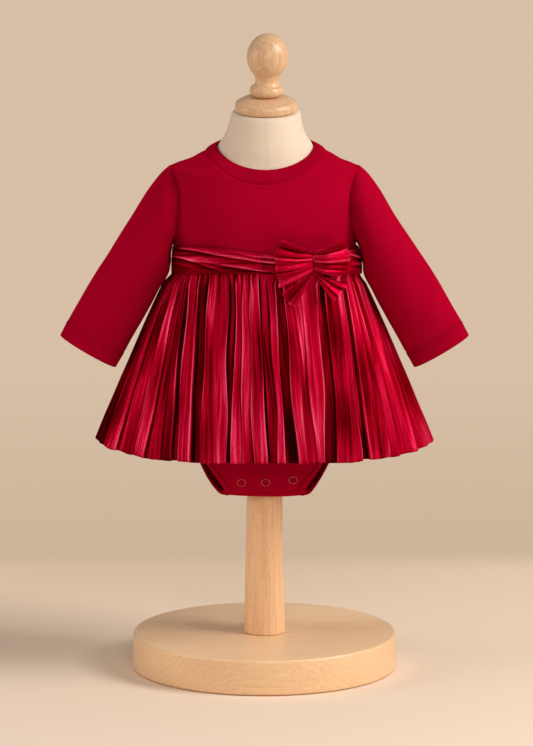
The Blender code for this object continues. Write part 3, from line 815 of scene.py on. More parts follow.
def add_stitches(name, path, normals, material, long=2.3, gap=0.75, thick=0.32, lift=0.1, closed=False):
    """A row of thread stitches laid along a path of points, one small capsule each."""
    if closed:
        path, normals = (np.concatenate((values, values[:1])) for values in (path, normals))
    far = distances(path)
    count = max(1, int(far[-1] / (long + gap)))
    pitch = far[-1] / count
    spots = (np.arange(count)[:, None] * pitch + gap / 2 + STITCH_SHARES * (pitch - gap)).ravel()
    up = unit(read_at(spots, far, normals))
    side = np.cross(up, unit(read_at(spots + 0.5, far, path) - read_at(spots - 0.5, far, path)))
    share = np.tile(STITCH_SHARES, count)[:, None]
    rise = lift + thick * (0.9 * np.sin(np.pi * share) - 0.35)
    radius = thick * np.where((share == 0) | (share == 1), 0.45, 1.0)
    turn = turns_of(STITCH_SIDES)
    across = (radius * np.cos(turn))[..., None] * side[:, None]
    above = (rise + radius * np.sin(turn))[..., None] * up[:, None]
    points = (read_at(spots, far, path)[:, None] + above + across).reshape(-1, 3)
    shape = tube_faces(len(STITCH_SHARES), STITCH_SIDES)
    starts = range(0, len(points), len(STITCH_SHARES) * STITCH_SIDES)
    faces = [[start + n for n in face] for start in starts for face in shape]
    return add_mesh(name, points, faces, material)


# Materials


class Shader:
    """Builds one material's nodes."""

    def __init__(self, name, colour, roughness, metallic=0.0):
        self.material = bpy.data.materials.new(name)
        self.material.use_nodes = True
        self.material.diffuse_color = (*colour, 1.0)
        self.tree = self.material.node_tree
        self.principled = self.tree.nodes["Principled BSDF"]
        self.set(**{"Base Color": (*colour, 1.0), "Roughness": roughness, "Metallic": metallic})

    def feed(self, socket, value):
        """Links another node's output to a socket, or puts a number or colour on it."""
        if isinstance(value, bpy.types.NodeSocket):
            self.tree.links.new(value, socket)
        else:
            socket.default_value = value

    def set(self, **values):
        """Feeds the shader's own sockets."""
        for name, value in values.items():
            self.feed(self.principled.inputs[name], value)

    def node(self, kind, links=None, **settings):
        """A node with its settings, and its inputs fed."""
        made = self.tree.nodes.new("ShaderNode" + kind)
        for name, value in settings.items():
            setattr(made, name, value)
        for name, value in (links or {}).items():
            self.feed(made.inputs[name], value)
        return made

    def place(self, scale=(1, 1, 1), source="Object", move=(0, 0, 0)):
        """Coordinates of the piece, or of its cloth, stretched by scale."""
        if source == "cloth":
            start = self.node("UVMap", uv_map="cloth").outputs["UV"]
        else:
            start = self.node("TexCoord").outputs[source]
        links = {"Vector": start, "Scale": scale, "Location": move}
        return self.node("Mapping", links).outputs["Vector"]

    def noise(self, scale, vector, detail=3.0, roughness=0.55, distortion=0.0):
        """A noise texture's value."""
        links = {"Vector": vector, "Scale": scale, "Detail": detail, "Roughness": roughness}
        return self.node("TexNoise", {**links, "Distortion": distortion}).outputs["Fac"]

    def wave(self, vector, scale, distortion, detail, detail_scale, **settings):
        """A wave texture's value."""
        links = {"Vector": vector, "Scale": scale, "Distortion": distortion, "Detail": detail}
        return self.node("TexWave", {**links, "Detail Scale": detail_scale}, **settings).outputs["Fac"]

    def ramp(self, value, *stops):
        """A colour ramp from (position, colour) stops."""
        made = self.node("ValToRGB", {"Fac": value})
        points = made.color_ramp.elements
        for n, (position, colour) in enumerate(stops):
            point = points[n] if n < 2 else points.new(position)
            point.position = position
            point.color = (*colour, 1.0)
        return made.outputs["Color"]

    def level(self, value, low, high, to_low=0.0, to_high=1.0):
        """value mapped from one range to another."""
        links = {"Value": value, "From Min": low, "From Max": high, "To Min": to_low, "To Max": to_high}
        return self.node("MapRange", links).outputs["Result"]

    def maths(self, operation, *values):
        """Values taken together one after the other by an operation."""
        total = values[0]
        for value in values[1:]:
            made = self.node("Math", operation=operation)
            self.feed(made.inputs[0], total)
            self.feed(made.inputs[1], value)
            total = made.outputs["Value"]
        return total

    def mix(self, share, a, b):
        """Two colours mixed by a share."""
        made = self.node("Mix", data_type="RGBA")
        for name, value in (("Factor", share), ("A", a), ("B", b)):
            socket = next(s for s in made.inputs if s.name == name and s.enabled)
            self.feed(socket, (*value, 1.0) if isinstance(value, tuple) else value)
        return next(s for s in made.outputs if s.enabled)

    def bump(self, height, strength, distance, under=None):
        """A bump of that height in millimetres, over another bump's normal."""
        links = {"Height": height, "Strength": strength, "Distance": distance * MM}
        if under is not None:
            links["Normal"] = under
        return self.node("Bump", links).outputs["Normal"]


def knit_material(name, colour, dark):
    """Smooth interlock knit: fine ribs of stitches, a soft fuzz and slight unevenness of colour."""
    m = Shader(name, colour, 0.78)
    m.set(**{"Specular IOR Level": 0.0, "Sheen Weight": 0.35, "Sheen Roughness": 0.5})
    m.set(**{"Sheen Tint": (1.0, 0.004, 0.05, 1.0)})
    cloth = m.place(source="cloth")
    broad = m.noise(9.0, m.place(), 2.0)
    fine = m.noise(1500.0, cloth, 2.0, 0.6)
    wales = m.wave(cloth, 330.0, 1.2, 1.0, 2.0, bands_direction="X")
    courses = m.wave(cloth, 420.0, 1.0, 1.0, 2.0, bands_direction="Y")
    stitch = m.maths("MULTIPLY", wales, courses)
    shade = m.maths("ADD", m.maths("MULTIPLY", m.level(broad, 0.3, 0.7), 0.6), m.maths("MULTIPLY", fine, 0.4))
    m.set(**{"Base Color": m.mix(m.level(shade, 0.15, 0.85), dark, colour)})
    m.set(Roughness=m.level(fine, 0.3, 0.7, 0.7, 0.88))
    m.set(Normal=m.bump(fine, 0.22, 0.25, m.bump(stitch, 0.25, 0.22)))
    return m.material


def velvet_material(name, *tones):
    """Crushed velvet: pile that lies in streaks along the folds, from dark to shining through its tones; the
    tone read at each point holds painted shade and painted highlights, and the top tones are painted pink
    highlight colour.
    """
    m = Shader(name, tones[len(tones) // 2][1], 0.38, 0.6)
    m.set(**{"Specular IOR Level": 0.0, "Specular Tint": (1.0, 0.03, 0.08, 1.0)})
    m.set(**{"Sheen Weight": 0.06, "Sheen Roughness": 0.3, "Sheen Tint": (1.0, 0.03, 0.09, 1.0)})
    # Each point's pile tone, with painted shade in folds and painted highlights on lit faces and edges
    pile_and_painted_light = m.node("Attribute", attribute_name="nap").outputs["Fac"]
    streaks = m.noise(1.0, m.place((420, 11, 1), "cloth"), 5.0, 0.62, 0.2)
    bands = m.noise(1.0, m.place((170, 8, 1), "cloth"), 2.0, 0.5, 0.3)
    patches = m.noise(1.0, m.place((75, 8, 1), "cloth"), 2.0, 0.5, 0.5)
    speckle = m.noise(1.0, m.place((1500, 900, 1), "cloth"), 2.0, 0.7)
    shade = m.maths(
        "ADD",
        pile_and_painted_light,
        m.level(streaks, 0.2, 0.8, -0.3, 0.3),
        m.level(bands, 0.2, 0.8, -0.22, 0.22),
        m.level(patches, 0.2, 0.8, -0.12, 0.12),
        m.level(speckle, 0.1, 0.9, -0.24, 0.24),
    )
    m.set(**{"Base Color": m.ramp(m.level(shade, -0.5, 0.5), *tones)})
    gloss = m.maths("ADD", shade, m.level(speckle, 0.0, 1.0, -0.2, 0.2))
    m.set(Roughness=m.level(gloss, -0.3, 0.3, 0.48, 0.3))
    under = m.bump(patches, 0.8, 2.2, m.bump(streaks, 1.0, 0.6))
    m.set(Normal=m.bump(speckle, 0.8, 0.35, under))
    return m.material


def woven_material(name, colour, dark, threads, sheen=0.0, strength=0.35, shine=0.0):
    """Plain weave with slubs: two crossing sets of threads."""
    m = Shader(name, colour, 0.88)
    m.set(**{"Specular IOR Level": shine, "Sheen Weight": sheen, "Sheen Roughness": 0.5})
    cloth = m.place(source="cloth")
    warp = m.wave(cloth, threads, 1.5, 2.0, 1.5, bands_direction="X")
    weft = m.wave(cloth, threads * 0.9, 1.5, 2.0, 1.5, bands_direction="Y")
    slubs = m.noise(1.0, m.place((90, 700, 1), "cloth"), 3.0, 0.6)
    grain = m.noise(1.0, m.place((700, 160, 1), "cloth"), 3.0, 0.6)
    weave = m.maths("MAXIMUM", warp, weft)
    shade = m.maths("ADD", *(m.maths("MULTIPLY", part, 0.35) for part in (weave, slubs, grain)))
    m.set(**{"Base Color": m.mix(m.level(shade, 0.25, 0.8), dark, colour)})
    m.set(Normal=m.bump(m.maths("ADD", slubs, grain), strength, 0.25, m.bump(weave, strength, 0.25)))
    return m.material


def wood_material(name, light, dark, along, centre):
    """Beech: faint growth rings round a line through `centre`, and fine dark flecks along the grain."""
    m = Shader(name, light, 0.42)
    m.set(**{"Specular IOR Level": 0.45, "Coat Weight": 0.3, "Coat Roughness": 0.32})

    def grain(lengthwise, across, **settings):
        scale = (lengthwise, across, across) if along == "X" else (across, across, lengthwise)
        return m.place(scale, **settings)

    move = tuple(-c * MM for c in centre)
    body = m.place(move=move)
    slow = m.noise(11.0, grain(0.15, 1, move=move), 3.0)
    settings = {"wave_type": "RINGS", "rings_direction": along, "wave_profile": "SAW"}
    rings = m.wave(body, 62.0, 3.0, 2.0, 0.6, **settings)
    flecks = m.noise(1.0, grain(150, 1400), 1.0, 0.5)
    fibres = m.noise(1.0, grain(14, 520), 4.0, 0.6)
    ring_line = m.maths("POWER", rings, 3.0)
    slow = m.maths("MULTIPLY", slow, 0.6)
    fine = m.maths("SUBTRACT", m.maths("MULTIPLY", fibres, 0.55), m.maths("MULTIPLY", ring_line, 0.1))
    tone = m.maths("ADD", slow, fine)
    flat = m.mix(m.level(tone, 0.25, 0.72), dark, light)
    specks = m.level(flecks, 0.64, 0.72)
    m.set(**{"Base Color": m.mix(m.maths("MULTIPLY", specks, 0.45), flat, tuple(c * 0.5 for c in dark))})
    m.set(Roughness=m.level(fibres, 0.3, 0.7, 0.36, 0.48))
    m.set(Normal=m.bump(fibres, 0.06, 0.2))
    return m.material


def metal_material(name, colour):
    """Coppery snap metal with fine scuffs."""
    m = Shader(name, colour, 0.3, 1.0)
    scuffs = m.noise(900.0, m.place(), 3.0)
    m.set(Roughness=m.level(scuffs, 0.3, 0.7, 0.2, 0.45))
    return m.material


def thread_material(name, colour):
    """Twisted sewing thread."""
    m = Shader(name, colour, 0.7)
    m.set(**{"Specular IOR Level": 0.05})
    twist = m.wave(m.place(), 500.0, 0.5, 2.0, 1.0, bands_direction="DIAGONAL")
    m.set(**{"Base Color": m.mix(twist, tuple(c * 0.6 for c in colour), colour)})
    m.set(Normal=m.bump(twist, 0.4, 0.1))
    return m.material


KNIT_RED = knit_material("knit", (0.36, 0.0007, 0.019), (0.29, 0.0005, 0.015))
KNIT_BAND = knit_material("knit band", (0.315, 0.0006, 0.0165), (0.255, 0.0004, 0.013))
# Velvet tones from near-black painted shade for deep folds up to pink painted highlight colour at the top
VELVET_RED = velvet_material(
    "velvet",
    (0.0, (0.022, 0.0, 0.0004)),
    (0.26, (0.12, 0.0, 0.0018)),
    (0.46, (0.34, 0.0004, 0.012)),
    (0.62, (0.50, 0.0022, 0.028)),
    (0.76, (0.72, 0.024, 0.085)),
    (0.94, (0.95, 0.10, 0.22)),
)
LINING_RED = woven_material("lining", (0.22, 0.0006, 0.012), (0.13, 0.0003, 0.007), 260.0)
LINEN = woven_material("linen", (0.76, 0.63, 0.50), (0.60, 0.48, 0.36), 150.0, 0.15, 0.4, 0.1)
BEECH_BASE = wood_material("beech base", (0.90, 0.60, 0.35), (0.68, 0.40, 0.20), "X", (0, 40, 150))
BEECH_POLE = wood_material("beech pole", (0.94, 0.60, 0.34), (0.66, 0.37, 0.18), "Z", (30, 60, 0))
BEECH_KNOB = wood_material("beech knob", (0.78, 0.50, 0.29), (0.46, 0.25, 0.12), "Z", (14, 12, 0))
SNAP_METAL = metal_material("snap metal", (0.46, 0.10, 0.065))
THREAD = thread_material("thread", (0.22, 0.0008, 0.01))

# The stand


def add_stand():
    """Base disc, pole, neck plate and finial, turned finer than the frame's."""
    rim = BASE_RADIUS - BASE_EDGE
    base = [(r, BASE_HEIGHT) for r in (0, 30, 70, 110)]
    base += arc((rim, BASE_HEIGHT - BASE_EDGE), (BASE_EDGE, BASE_EDGE), 90, 0, 9)
    base += [(BASE_RADIUS, BASE_HEIGHT / 2)]
    base += arc((rim, BASE_EDGE), (BASE_EDGE, BASE_EDGE), 0, -90, 7) + [(0, 0)]
    top = TORSO_BOTTOM - SEAM_GAP
    low = BASE_HEIGHT + SEAM_GAP
    pole = [(0, top), (POLE_RADIUS_HIGH, top)]
    for t in (0.25, 0.5, 0.75, 1.0):
        radius = POLE_RADIUS_HIGH + (POLE_RADIUS_LOW - POLE_RADIUS_HIGH) * t
        pole.append((radius, top + (low + POLE_EDGE - top) * t))
    pole += [(POLE_RADIUS_LOW - POLE_EDGE, low), (0, low)]
    plate = [(0, PLATE_TOP), (COLLAR_RADIUS + 1.5, PLATE_TOP), (23.0, 623.4), (27.0, 621.5)]
    plate += arc((NECK_PLATE_RADIUS - 5.0, 613.6), (5.0, 6.4), 72, 0, 9)
    plate += arc((NECK_PLATE_RADIUS - 2.6, 611.6), (2.6, 3.2), 0, -80, 7)
    plate += [(0, TORSO_TOP + SEAM_GAP)]
    knob = [(0, BALL_CENTRE + BALL_HALF_HEIGHT)]
    knob += arc((0, BALL_CENTRE), (BALL_RADIUS, BALL_HALF_HEIGHT), 86, -50, 26)
    knob += [(13.3, 646.0), (12.6, 643.5), (12.4, 641.8), (12.9, 639.6), (13.9, 637.9)]
    knob += arc((COLLAR_RADIUS - 4.5, 631.2), (4.5, 5.6), 80, -70, 12)
    knob += [(13.5, PLATE_TOP + SEAM_GAP), (0, PLATE_TOP + SEAM_GAP)]
    for name, node, profile, sides, wood in (
        ("base", "base_disc", base, 160, BEECH_BASE),
        ("turned_pole", "pole", pole, 96, BEECH_POLE),
        ("plate", "neck_plate", plate, 96, BEECH_KNOB),
        ("knob", "finial_knob", knob, 96, BEECH_KNOB),
    ):
        join_up(add_turned(name, profile, sides, wood), "beech", node)


def add_form():
    """Linen-covered torso and neck, with a sewn seam down its front and back."""
    sides = 120
    angle = 360 * np.arange(sides) / sides
    parts = (np.linspace(TORSO_BOTTOM, 546, 30), np.linspace(548, 606, 40), (607.2, 607.8, TORSO_TOP))
    heights = np.concatenate(parts)
    at = curves(TORSO)
    seam = bell(np.minimum(angle, 360 - angle), 1.1) + bell(angle - 180, 1.1)
    rows = []
    for z in heights:
        inset = 0.35 * seam if z < 606.5 else 0.0
        sizes = [at[k](z) - inset for k in ("half_width", "front", "back")]
        rows.append(level_points(angle, z, *sizes, at["power"](z)) + (lean_at(z), 0, 0))
    grid = np.array(rows)
    faces = tube_faces(len(heights), sides)
    uv = np.stack(np.broadcast_arrays(np.radians(angle) * 0.045, lengths_along(grid, 0)), axis=-1)
    made = add_mesh("linen_form", grid.reshape(-1, 3), faces, LINEN, uv.reshape(-1, 2))
    made.data.set_sharp_from_angle(angle=math.radians(70))
    join_up(made, "linen", "form_torso")
    for name, ahead, low in (("front", 1, 578), ("back", -1, 583)):
        zs = np.linspace(low, 605, 30)
        path = stack(lean_at(zs), -ahead * (at[name](zs) - 0.3), zs)
        outwards = np.broadcast_to((0.0, -ahead, 0.0), path.shape)
        row = add_stitches(f"form_seam_{name}", path, outwards, LINEN, 1.8, 0.9, 0.16)
        join_up(row, "linen")


# Bodice, neckband and sleeves


def armhole_angle(z):
    """Angle from a panel's centre to its edge: 90 at the side and shoulder seams, less at the armhole."""
    inside = (ARMPIT < z) & (z < SHOULDER_TIP)
    return np.where(inside, armhole_at["angle"](z), 90.0)


def bodice_points(ahead, across, up, out=0.0):
    """Bodice panel: across runs -1 to 1 between its edges, up runs 0 to 1 from waist to neckline."""
    across, up = np.broadcast_arrays(across, up)
    side_low = float(waist_z(90))
    limit = armhole_angle(side_low + up * (NECK_SEAM_SIDE - side_low))
    turn = 90.0 * across
    seam_angle, seam_z = neck_seam(turn if ahead > 0 else 180 - turn)
    if ahead < 0:
        seam_angle = turn
    angle = (turn + up**2 * (seam_angle - turn)) * (1 - (1 - limit / 90) * np.abs(across))
    if ahead < 0:
        angle = 180 - angle
    low = waist_z(angle) + SEAM_GAP / 2
    return body_points(angle, low + up * (seam_z - low), out)


def armhole_shares():
    """Shares of a panel's height at the armpit and at the shoulder tip."""
    side_low = float(waist_z(90))
    span = NECK_SEAM_SIDE - side_low
    return (ARMPIT - side_low) / span, (SHOULDER_TIP - side_low) / span


def crowded(count, crowd):
    """0 to 1, with stations crowded towards both ends."""
    ends = crowd * np.array((0.0, 0.35, 0.7, 1.1, 1.6, 2.2))
    inner = np.linspace(ends[-1] + crowd, 1 - ends[-1] - crowd, count)
    return np.concatenate((ends, inner, 1 - ends[::-1]))


NECK_UPS = (0.97, 0.978, 0.984, 0.99, 0.994, 0.997, 1)  # crowded rows where the panels reach the neck


def add_bodice():
    """Front and back panels; their edges roll in at the seams."""
    armpit, tip = armhole_shares()
    hole = tip + (armpit - tip) * np.arange(49) / 48
    ups = np.concatenate((np.linspace(0, armpit, 14)[:-1], hole, np.linspace(tip, 0.96, 8)[1:], NECK_UPS))
    acrosses = crowded(140, 0.004) * 2 - 1
    roll = swell(11, 7, 0.004, 0.014)
    for name, ahead in (("front", 1), ("back", -1)):
        across, up = np.meshgrid(acrosses, np.sort(ups))
        flat = bodice_points(ahead, across, up)
        u = flat[..., 0]
        v = flat[..., 2] - WAIST_SIDE
        far = lengths_along(flat, 1) / MM
        edge = np.minimum(far, far[:, -1:] - far)
        top = (1 - up) * 105
        out = -1.3 * np.exp(-edge / 0.8) + 0.35 * bell(edge - 2.4, 1.1)
        out = out - 1.4 * np.exp(-top / 0.9) + 0.45 * bell(top - 2.4, 1.1)
        fade = smooth(edge / 6) * smooth(top / 10)
        out = out + fade * (crease_depth(BODICE_CREASES, u, v) + 0.3 * roll(u + 300 * (ahead < 0), v))
        grid = bodice_points(ahead, across, up, out)
        grid[..., 1] -= ahead * HALF_GAP
        panel = add_cloth(f"bodice_panel_{name}", grid, KNIT, KNIT_RED, INSIDE_CHEST)
        join_up(panel, "knit", f"bodice_{name}")


def neckband_points(turn, up):
    """Outer face of the neckband: up runs 0 at the seam to 1 at the folded inner edge."""
    opening = NECK_OPENING
    side_z = opening["z_side"]
    ahead = np.cos(np.radians(turn))
    angle, seam_z = neck_seam(turn)
    seam = body_points(angle, seam_z + SEAM_GAP)
    front_z = side_z - (side_z - opening["z_front"]) * np.maximum(ahead, 0) ** NECK_ROUND
    back_z = side_z - (opening["z_back"] - side_z) * np.minimum(ahead, 0)
    edge_z = np.where(ahead > 0, front_z, back_z)
    edge = level_points(turn, edge_z, opening["half_width"], opening["front"], opening["back"])
    edge[..., 0] += lean_at(edge_z)
    points = seam + np.asarray(up)[..., None] * (edge - seam)
    bulge = np.sin(np.pi * np.clip(up, 0, 1))
    flat = np.linalg.norm(points[..., :2], axis=-1)
    points[..., :2] *= (1 + bulge / flat)[..., None]
    points[..., 2] += 0.8 * bulge
    return points


def add_neckband():
    """One strip of the knit folded in half, its fold at the neck and both edges in the seam."""
    fold = 0.9
    rise = 17.0
    ups = (0, 0.02, 0.05, 0.12, 0.25, 0.4, 0.55, 0.7, 0.85, 0.95)
    path = [(up, -0.55 * math.exp(-up * rise / 0.7)) for up in ups]
    bends = np.linspace(0, math.pi, 9)
    path += [(1 + fold / rise * math.sin(t), fold * (math.cos(t) - 1)) for t in bends]
    path += [(up, -2 * fold) for up in (0.9, 0.7, 0.5, 0.3, 0.15, 0.04)]
    ups, lifts = np.transpose(path)
    turn, up = np.meshgrid(np.arange(144) * 2.5, ups)
    seam, edge = neckband_points(turn[:2], np.array([[0.0], [1.0]]))
    normal = unit(np.cross(np.roll(seam, -1, axis=0) - np.roll(seam, 1, axis=0), edge - seam))
    normal *= outward(seam, normal, INSIDE_NECK)
    grid = neckband_points(turn, up) + normal * lifts[:, None, None]
    band = add_cloth("neck_band", grid, BAND_WALL, KNIT_BAND, INSIDE_CHEST, closed=True)
    join_up(band, "knit", "neckband")


def sleeve_points(side, around, ring):
    """Sleeve surface: around runs 0 at the shoulder to 1 round by the front, ring 0 armhole to 8 cuff."""
    armpit, tip = armhole_shares()
    around, ring = np.broadcast_arrays(around, ring)
    half = np.where(around <= 0.5, around, 1 - around) * 2
    share = (1 - np.cos(np.pi * half)) / 2
    up = tip + (armpit - tip) * share
    tuck = np.clip(-ring, 0, 1)
    across = side * (1 - 0.04 * tuck * np.sin(np.pi * half) ** 0.5)
    under = -1.0 - 1.9 * smooth(tuck * 2)
    front, back = (bodice_points(ahead, across, up, under) for ahead in (1, -1))
    hole = np.where((around <= 0.5)[..., None], front, back)
    hole[..., 0] += side * 0.3 * (1 - tuck)
    at = {name: read(np.maximum(ring, 0)) for name, read in sleeve_at.items()}
    trim = {name: read(np.maximum(ring, 1)) for name, read in trim_at.items()}
    outer = stack(at["outer_x"] - trim["outer"] * (side > 0), 0.0, at["outer_z"])
    inner = stack(at["inner_x"] - trim["left" if side < 0 else "right"], 0.0, at["inner_z"])
    turn = 2 * np.pi * around
    tube = (outer + inner) / 2 + (outer - inner) / 2 * np.cos(turn)[..., None]
    tube[..., 1] = -at["half_depth"] * bend(np.sin(turn), BODY_POWER)
    tube[..., 0] *= side
    share = (1 - (1 - np.clip(ring / 1.4, 0, 1)) ** 2)[..., None]
    return blend(hole, tube, share)


SLEEVE_RADIUS = 30.0
UNDERARM_RADIUS = 28.0
CUFF_STITCHES = {"low": 15.0, "high": 18.2}  # how far each row lies above the cuff's edge


def add_sleeves():
    """Set-in sleeves with an underarm seam, and a raised hem with two rows of stitches."""
    start = (-1, -0.5, -0.2, 0, 0.02, 0.045, 0.08, 0.12, 0.17, 0.24, 0.33, 0.45, 0.6, 0.8)
    rings = np.unique(np.concatenate((start, np.linspace(1, 7.2, 56), np.linspace(7.22, 8, 16))))
    around, ring = np.meshgrid(np.arange(112) / 112, rings)
    u = (around - 0.25) * 2 * np.pi * SLEEVE_RADIUS
    above = np.cos(2 * np.pi * around)
    puff = smooth(0.6 - above) * smooth((above + 0.8) * 2)
    from_underarm = np.abs(around - 0.5) * 2 * np.pi * UNDERARM_RADIUS
    for side, name in ((-1, "left"), (1, "right")):
        grid = sleeve_points(side, around, ring)
        far = lengths_along(grid, 0) / MM
        full = far[-1]
        to_cuff = full - far
        from_seam = np.maximum(far - far[start.index(0)], 0.0)
        roll = swell(21 + side, 7, 0.004, 0.016)
        amount = (1 - np.clip(ring, 0, 1)) * (1 - np.exp(-from_seam / 0.7))
        amount += 0.35 * bell(from_seam - 2.2, 1.1) + 0.8 * bell(from_seam - 8, 4) * puff
        amount -= 0.45 * bell(from_underarm, 0.7)
        amount += 0.3 * smooth((17.8 - to_cuff) / 0.8) - 0.28 * bell(to_cuff - CUFF_STITCHES["high"], 0.7)
        fade = smooth(from_seam / 8) * smooth((to_cuff - 16) / 14)
        folds = crease_depth(SLEEVE_CREASES, u, from_seam)
        folds += crease_depth(SLEEVE_CREASES, -u - 150, from_seam + 8)
        amount += fade * (folds + 0.4 * roll(u, from_seam))
        middle = grid.mean(axis=1, keepdims=True)
        grid = pushed(grid, amount, middle, closed=True)
        made = add_cloth(f"sleeve_{name}_cloth", grid, KNIT, KNIT_RED, middle, closed=True)
        join_up(made, "knit", f"sleeve_{name}")
        normals = normals_of(grid, True)
        normals *= outward(grid, normals, middle)
        for row, off in CUFF_STITCHES.items():
            path, ups = (
                np.array([read_at(full[c] - off, far[:, c], values[:, c]) for c in range(len(full))])
                for values in (grid, normals)
            )
            label = f"cuff_stitch_{name}_{row}"
            join_up(add_stitches(label, path, ups, THREAD, 2.2, 0.8, 0.26, closed=True), "knit")


# Bodysuit bottom


def half_round(across):
    """How far to the side and how far ahead points lie on half a level cut; across runs -1 to 1."""
    turn = np.radians(90 * across)
    return bend(np.sin(turn), BODY_POWER), bend(np.maximum(np.cos(turn), 0.0), BODY_POWER)


def panty_front_points(across, z):
    """Front of the panty below the waist: across runs -1 to 1 between side seams or leg edges."""
    half_width, edge, centre = (panty_front_at[k](z) for k in ("half_width", "edge", "centre"))
    side, ahead = half_round(across)
    return stack(half_width * side, -(edge + (centre - edge) * ahead) - HALF_GAP, z)


def flap_wave(across):
    """How far the flap's lower edge waves up and down between the snaps."""
    return 1.1 * np.sin(across * 8.0 + 0.6) + 0.5 * np.sin(across * 15 + 2)


def panty_front_grid():
    """Rows from the waist seam to the snap flap's waved lower edge."""
    acrosses = crowded(70, 0.006) * 2 - 1
    downs = np.concatenate((np.linspace(0, 0.84, 50), np.linspace(0.85, 1, 26)))
    across, down = np.meshgrid(acrosses, downs)
    angle = 90 * across
    top = body_points(angle, waist_z(angle) - SEAM_GAP / 2)
    z = PANTY_HIGH + (FLAP_LOW - PANTY_HIGH) * np.maximum(down - 0.1, 0) / 0.9
    low = smooth((212 - z) / 14)
    z = z + flap_wave(across) * low * 0.8
    share = np.clip(down / 0.1, 0, 1)[..., None]
    grid = blend(top, panty_front_points(across, z), share)
    waves = 0.55 * np.sin(across * 9 + 1.2) * smooth((232 - z) / 30)
    dips = np.zeros_like(z)
    for snap in rows_of(SNAPS):
        far = np.hypot(grid[..., 0] - snap["x"], z - snap["z"])
        dips += 0.35 * bell(far - 8.5, 3) - 0.5 * np.exp(-((far / 5.5) ** 4))
    roll = swell(31, 7, 0.005, 0.016)(grid[..., 0], z)
    edge = np.where(z < LEG_TOP, (1 - np.abs(across)) * 60, 30)
    return pushed(grid, waves + dips + 0.4 * roll * smooth(edge / 8), INSIDE_HIPS), z


def panty_back_grid():
    """Rows from the waist seam, under the form and up behind the flap to the tab's top."""
    acrosses = crowded(70, 0.006) * 2 - 1
    last = BACK_ROWS
    parts = (np.linspace(-1, 0, 6)[:-1], np.linspace(0, last, 78), np.linspace(last, last + TAB_ROWS, 12)[1:])
    rows = np.concatenate(parts)
    across, row = np.meshgrid(acrosses, rows)
    side, ahead = half_round(across)
    at = {name: read(np.clip(row, 0, last)) for name, read in panty_back_at.items()}
    y = at["edge_y"] + (at["centre_y"] - at["edge_y"]) * ahead + HALF_GAP
    z = at["edge_z"] + (at["centre_z"] - at["edge_z"]) * ahead
    angle = 180 - 90 * across
    top = body_points(angle, waist_z(angle) - SEAM_GAP / 2)
    grid = blend(top, stack(at["half_width"] * side, y, z), np.clip(row + 1, 0, 1)[..., None])
    tab_share = np.clip((row - last) / TAB_ROWS, 0, 1)
    tab_z = TAB_LOW + (TAB_HIGH - TAB_LOW) * np.clip((row - last - 0.6) / (TAB_ROWS - 0.6), 0, 1)
    tab = panty_front_points(across * TAB_SHARE, tab_z)
    tab[..., 1] += TAB_BEHIND
    grid = np.where((row > last)[..., None], blend(grid, tab, smooth(tab_share * 5)[..., None]), grid)
    roll = swell(32, 7, 0.005, 0.015)(grid[..., 0], grid[..., 2] + grid[..., 1])
    fade = smooth((1 - np.abs(across)) * 60 / 8) * smooth((last - row) / 2)
    return pushed(grid, 0.5 * roll * fade, INSIDE_SEAT), rows


def add_binding(name, edge_lines, inside):
    """A strip wrapped over a leg edge; edge_lines are lines from the edge inwards across the panel."""
    grid = np.array([read_at(BINDING["far"], distances(line), line) for line in edge_lines])
    normals = normals_of(grid)
    normals *= outward(grid, normals, inside)
    face = grid + normals * BINDING["lift"][:, None]
    edge = grid[:, :1]
    up = normals[:, :1]
    out = unit(edge - grid[:, 2:3])
    wrap = edge + out * 0.75 - up * 0.4
    turned = edge + out * 0.55 - up * 1.5
    under = grid[:, 2:3] - normals[:, 2:3] * 2.2
    strip = np.concatenate((under, turned, wrap, face), axis=1)
    facing = np.sum(normals_of(strip)[:, 5] * normals[:, 3])
    return add_cloth(name, strip, BINDING_WALL, KNIT_RED, inside, flip=facing < 0), face, normals


def add_panty():
    """Front with its snap flap, back with its tab and the pole's round hole, bindings and stitch rows."""
    front, front_z = panty_front_grid()
    back, back_rows = panty_back_grid()
    made = add_cloth("panty_front_cloth", front, KNIT, KNIT_RED, INSIDE_HIPS)
    join_up(made, "knit", "panty_front")
    panel = add_cloth("panty_back_cloth", back, KNIT, KNIT_RED, INSIDE_SEAT)
    turns = turns_of(HOLE_SIDES)
    rings = [stack(POLE_HOLE_RADIUS * np.cos(turns), POLE_HOLE_RADIUS * np.sin(turns), z) for z in HOLE_ENDS]
    tool = add_mesh("hole", np.concatenate(rings), tube_faces(2, HOLE_SIDES), KNIT_RED)
    cut = panel.modifiers.new("pole hole", "BOOLEAN")
    cut.operation = "DIFFERENCE"
    cut.solver = "EXACT"
    cut.object = tool
    bake_shape(panel)
    bpy.data.objects.remove(tool)
    join_up(panel, "knit", "panty_back")
    first = int(np.argmax(front_z[:, 0] < LEG_TOP))
    start = int(np.searchsorted(back_rows, BACK_LEG_TOP))
    end = int(np.searchsorted(back_rows, BACK_LEG_END))
    for side, name in ((-1, "left"), (1, "right")):
        for label, grid, inside in (
            ("front", front[first:], INSIDE_HIPS),
            ("back", back[start:end], INSIDE_SEAT),
        ):
            lines = [row if side < 0 else row[::-1] for row in grid]
            strip, face, normals = add_binding(f"binding_{label}_{name}", lines, inside)
            join_up(strip, "knit", f"leg_binding_{label}_{name}")
            path, ups = (values[2:-1, 5] for values in (face, normals))
            row = add_stitches(f"leg_stitch_{label}_{name}", path, ups, THREAD, 1.9, 0.9, 0.2, 0.05)
            join_up(row, "knit")


def bake_shape(made):
    """Applies a piece's modifiers to its mesh."""
    bpy.context.view_layer.update()
    seen = made.evaluated_get(bpy.context.evaluated_depsgraph_get())
    mesh = bpy.data.meshes.new_from_object(seen)
    made.modifiers.clear()
    made.data = mesh


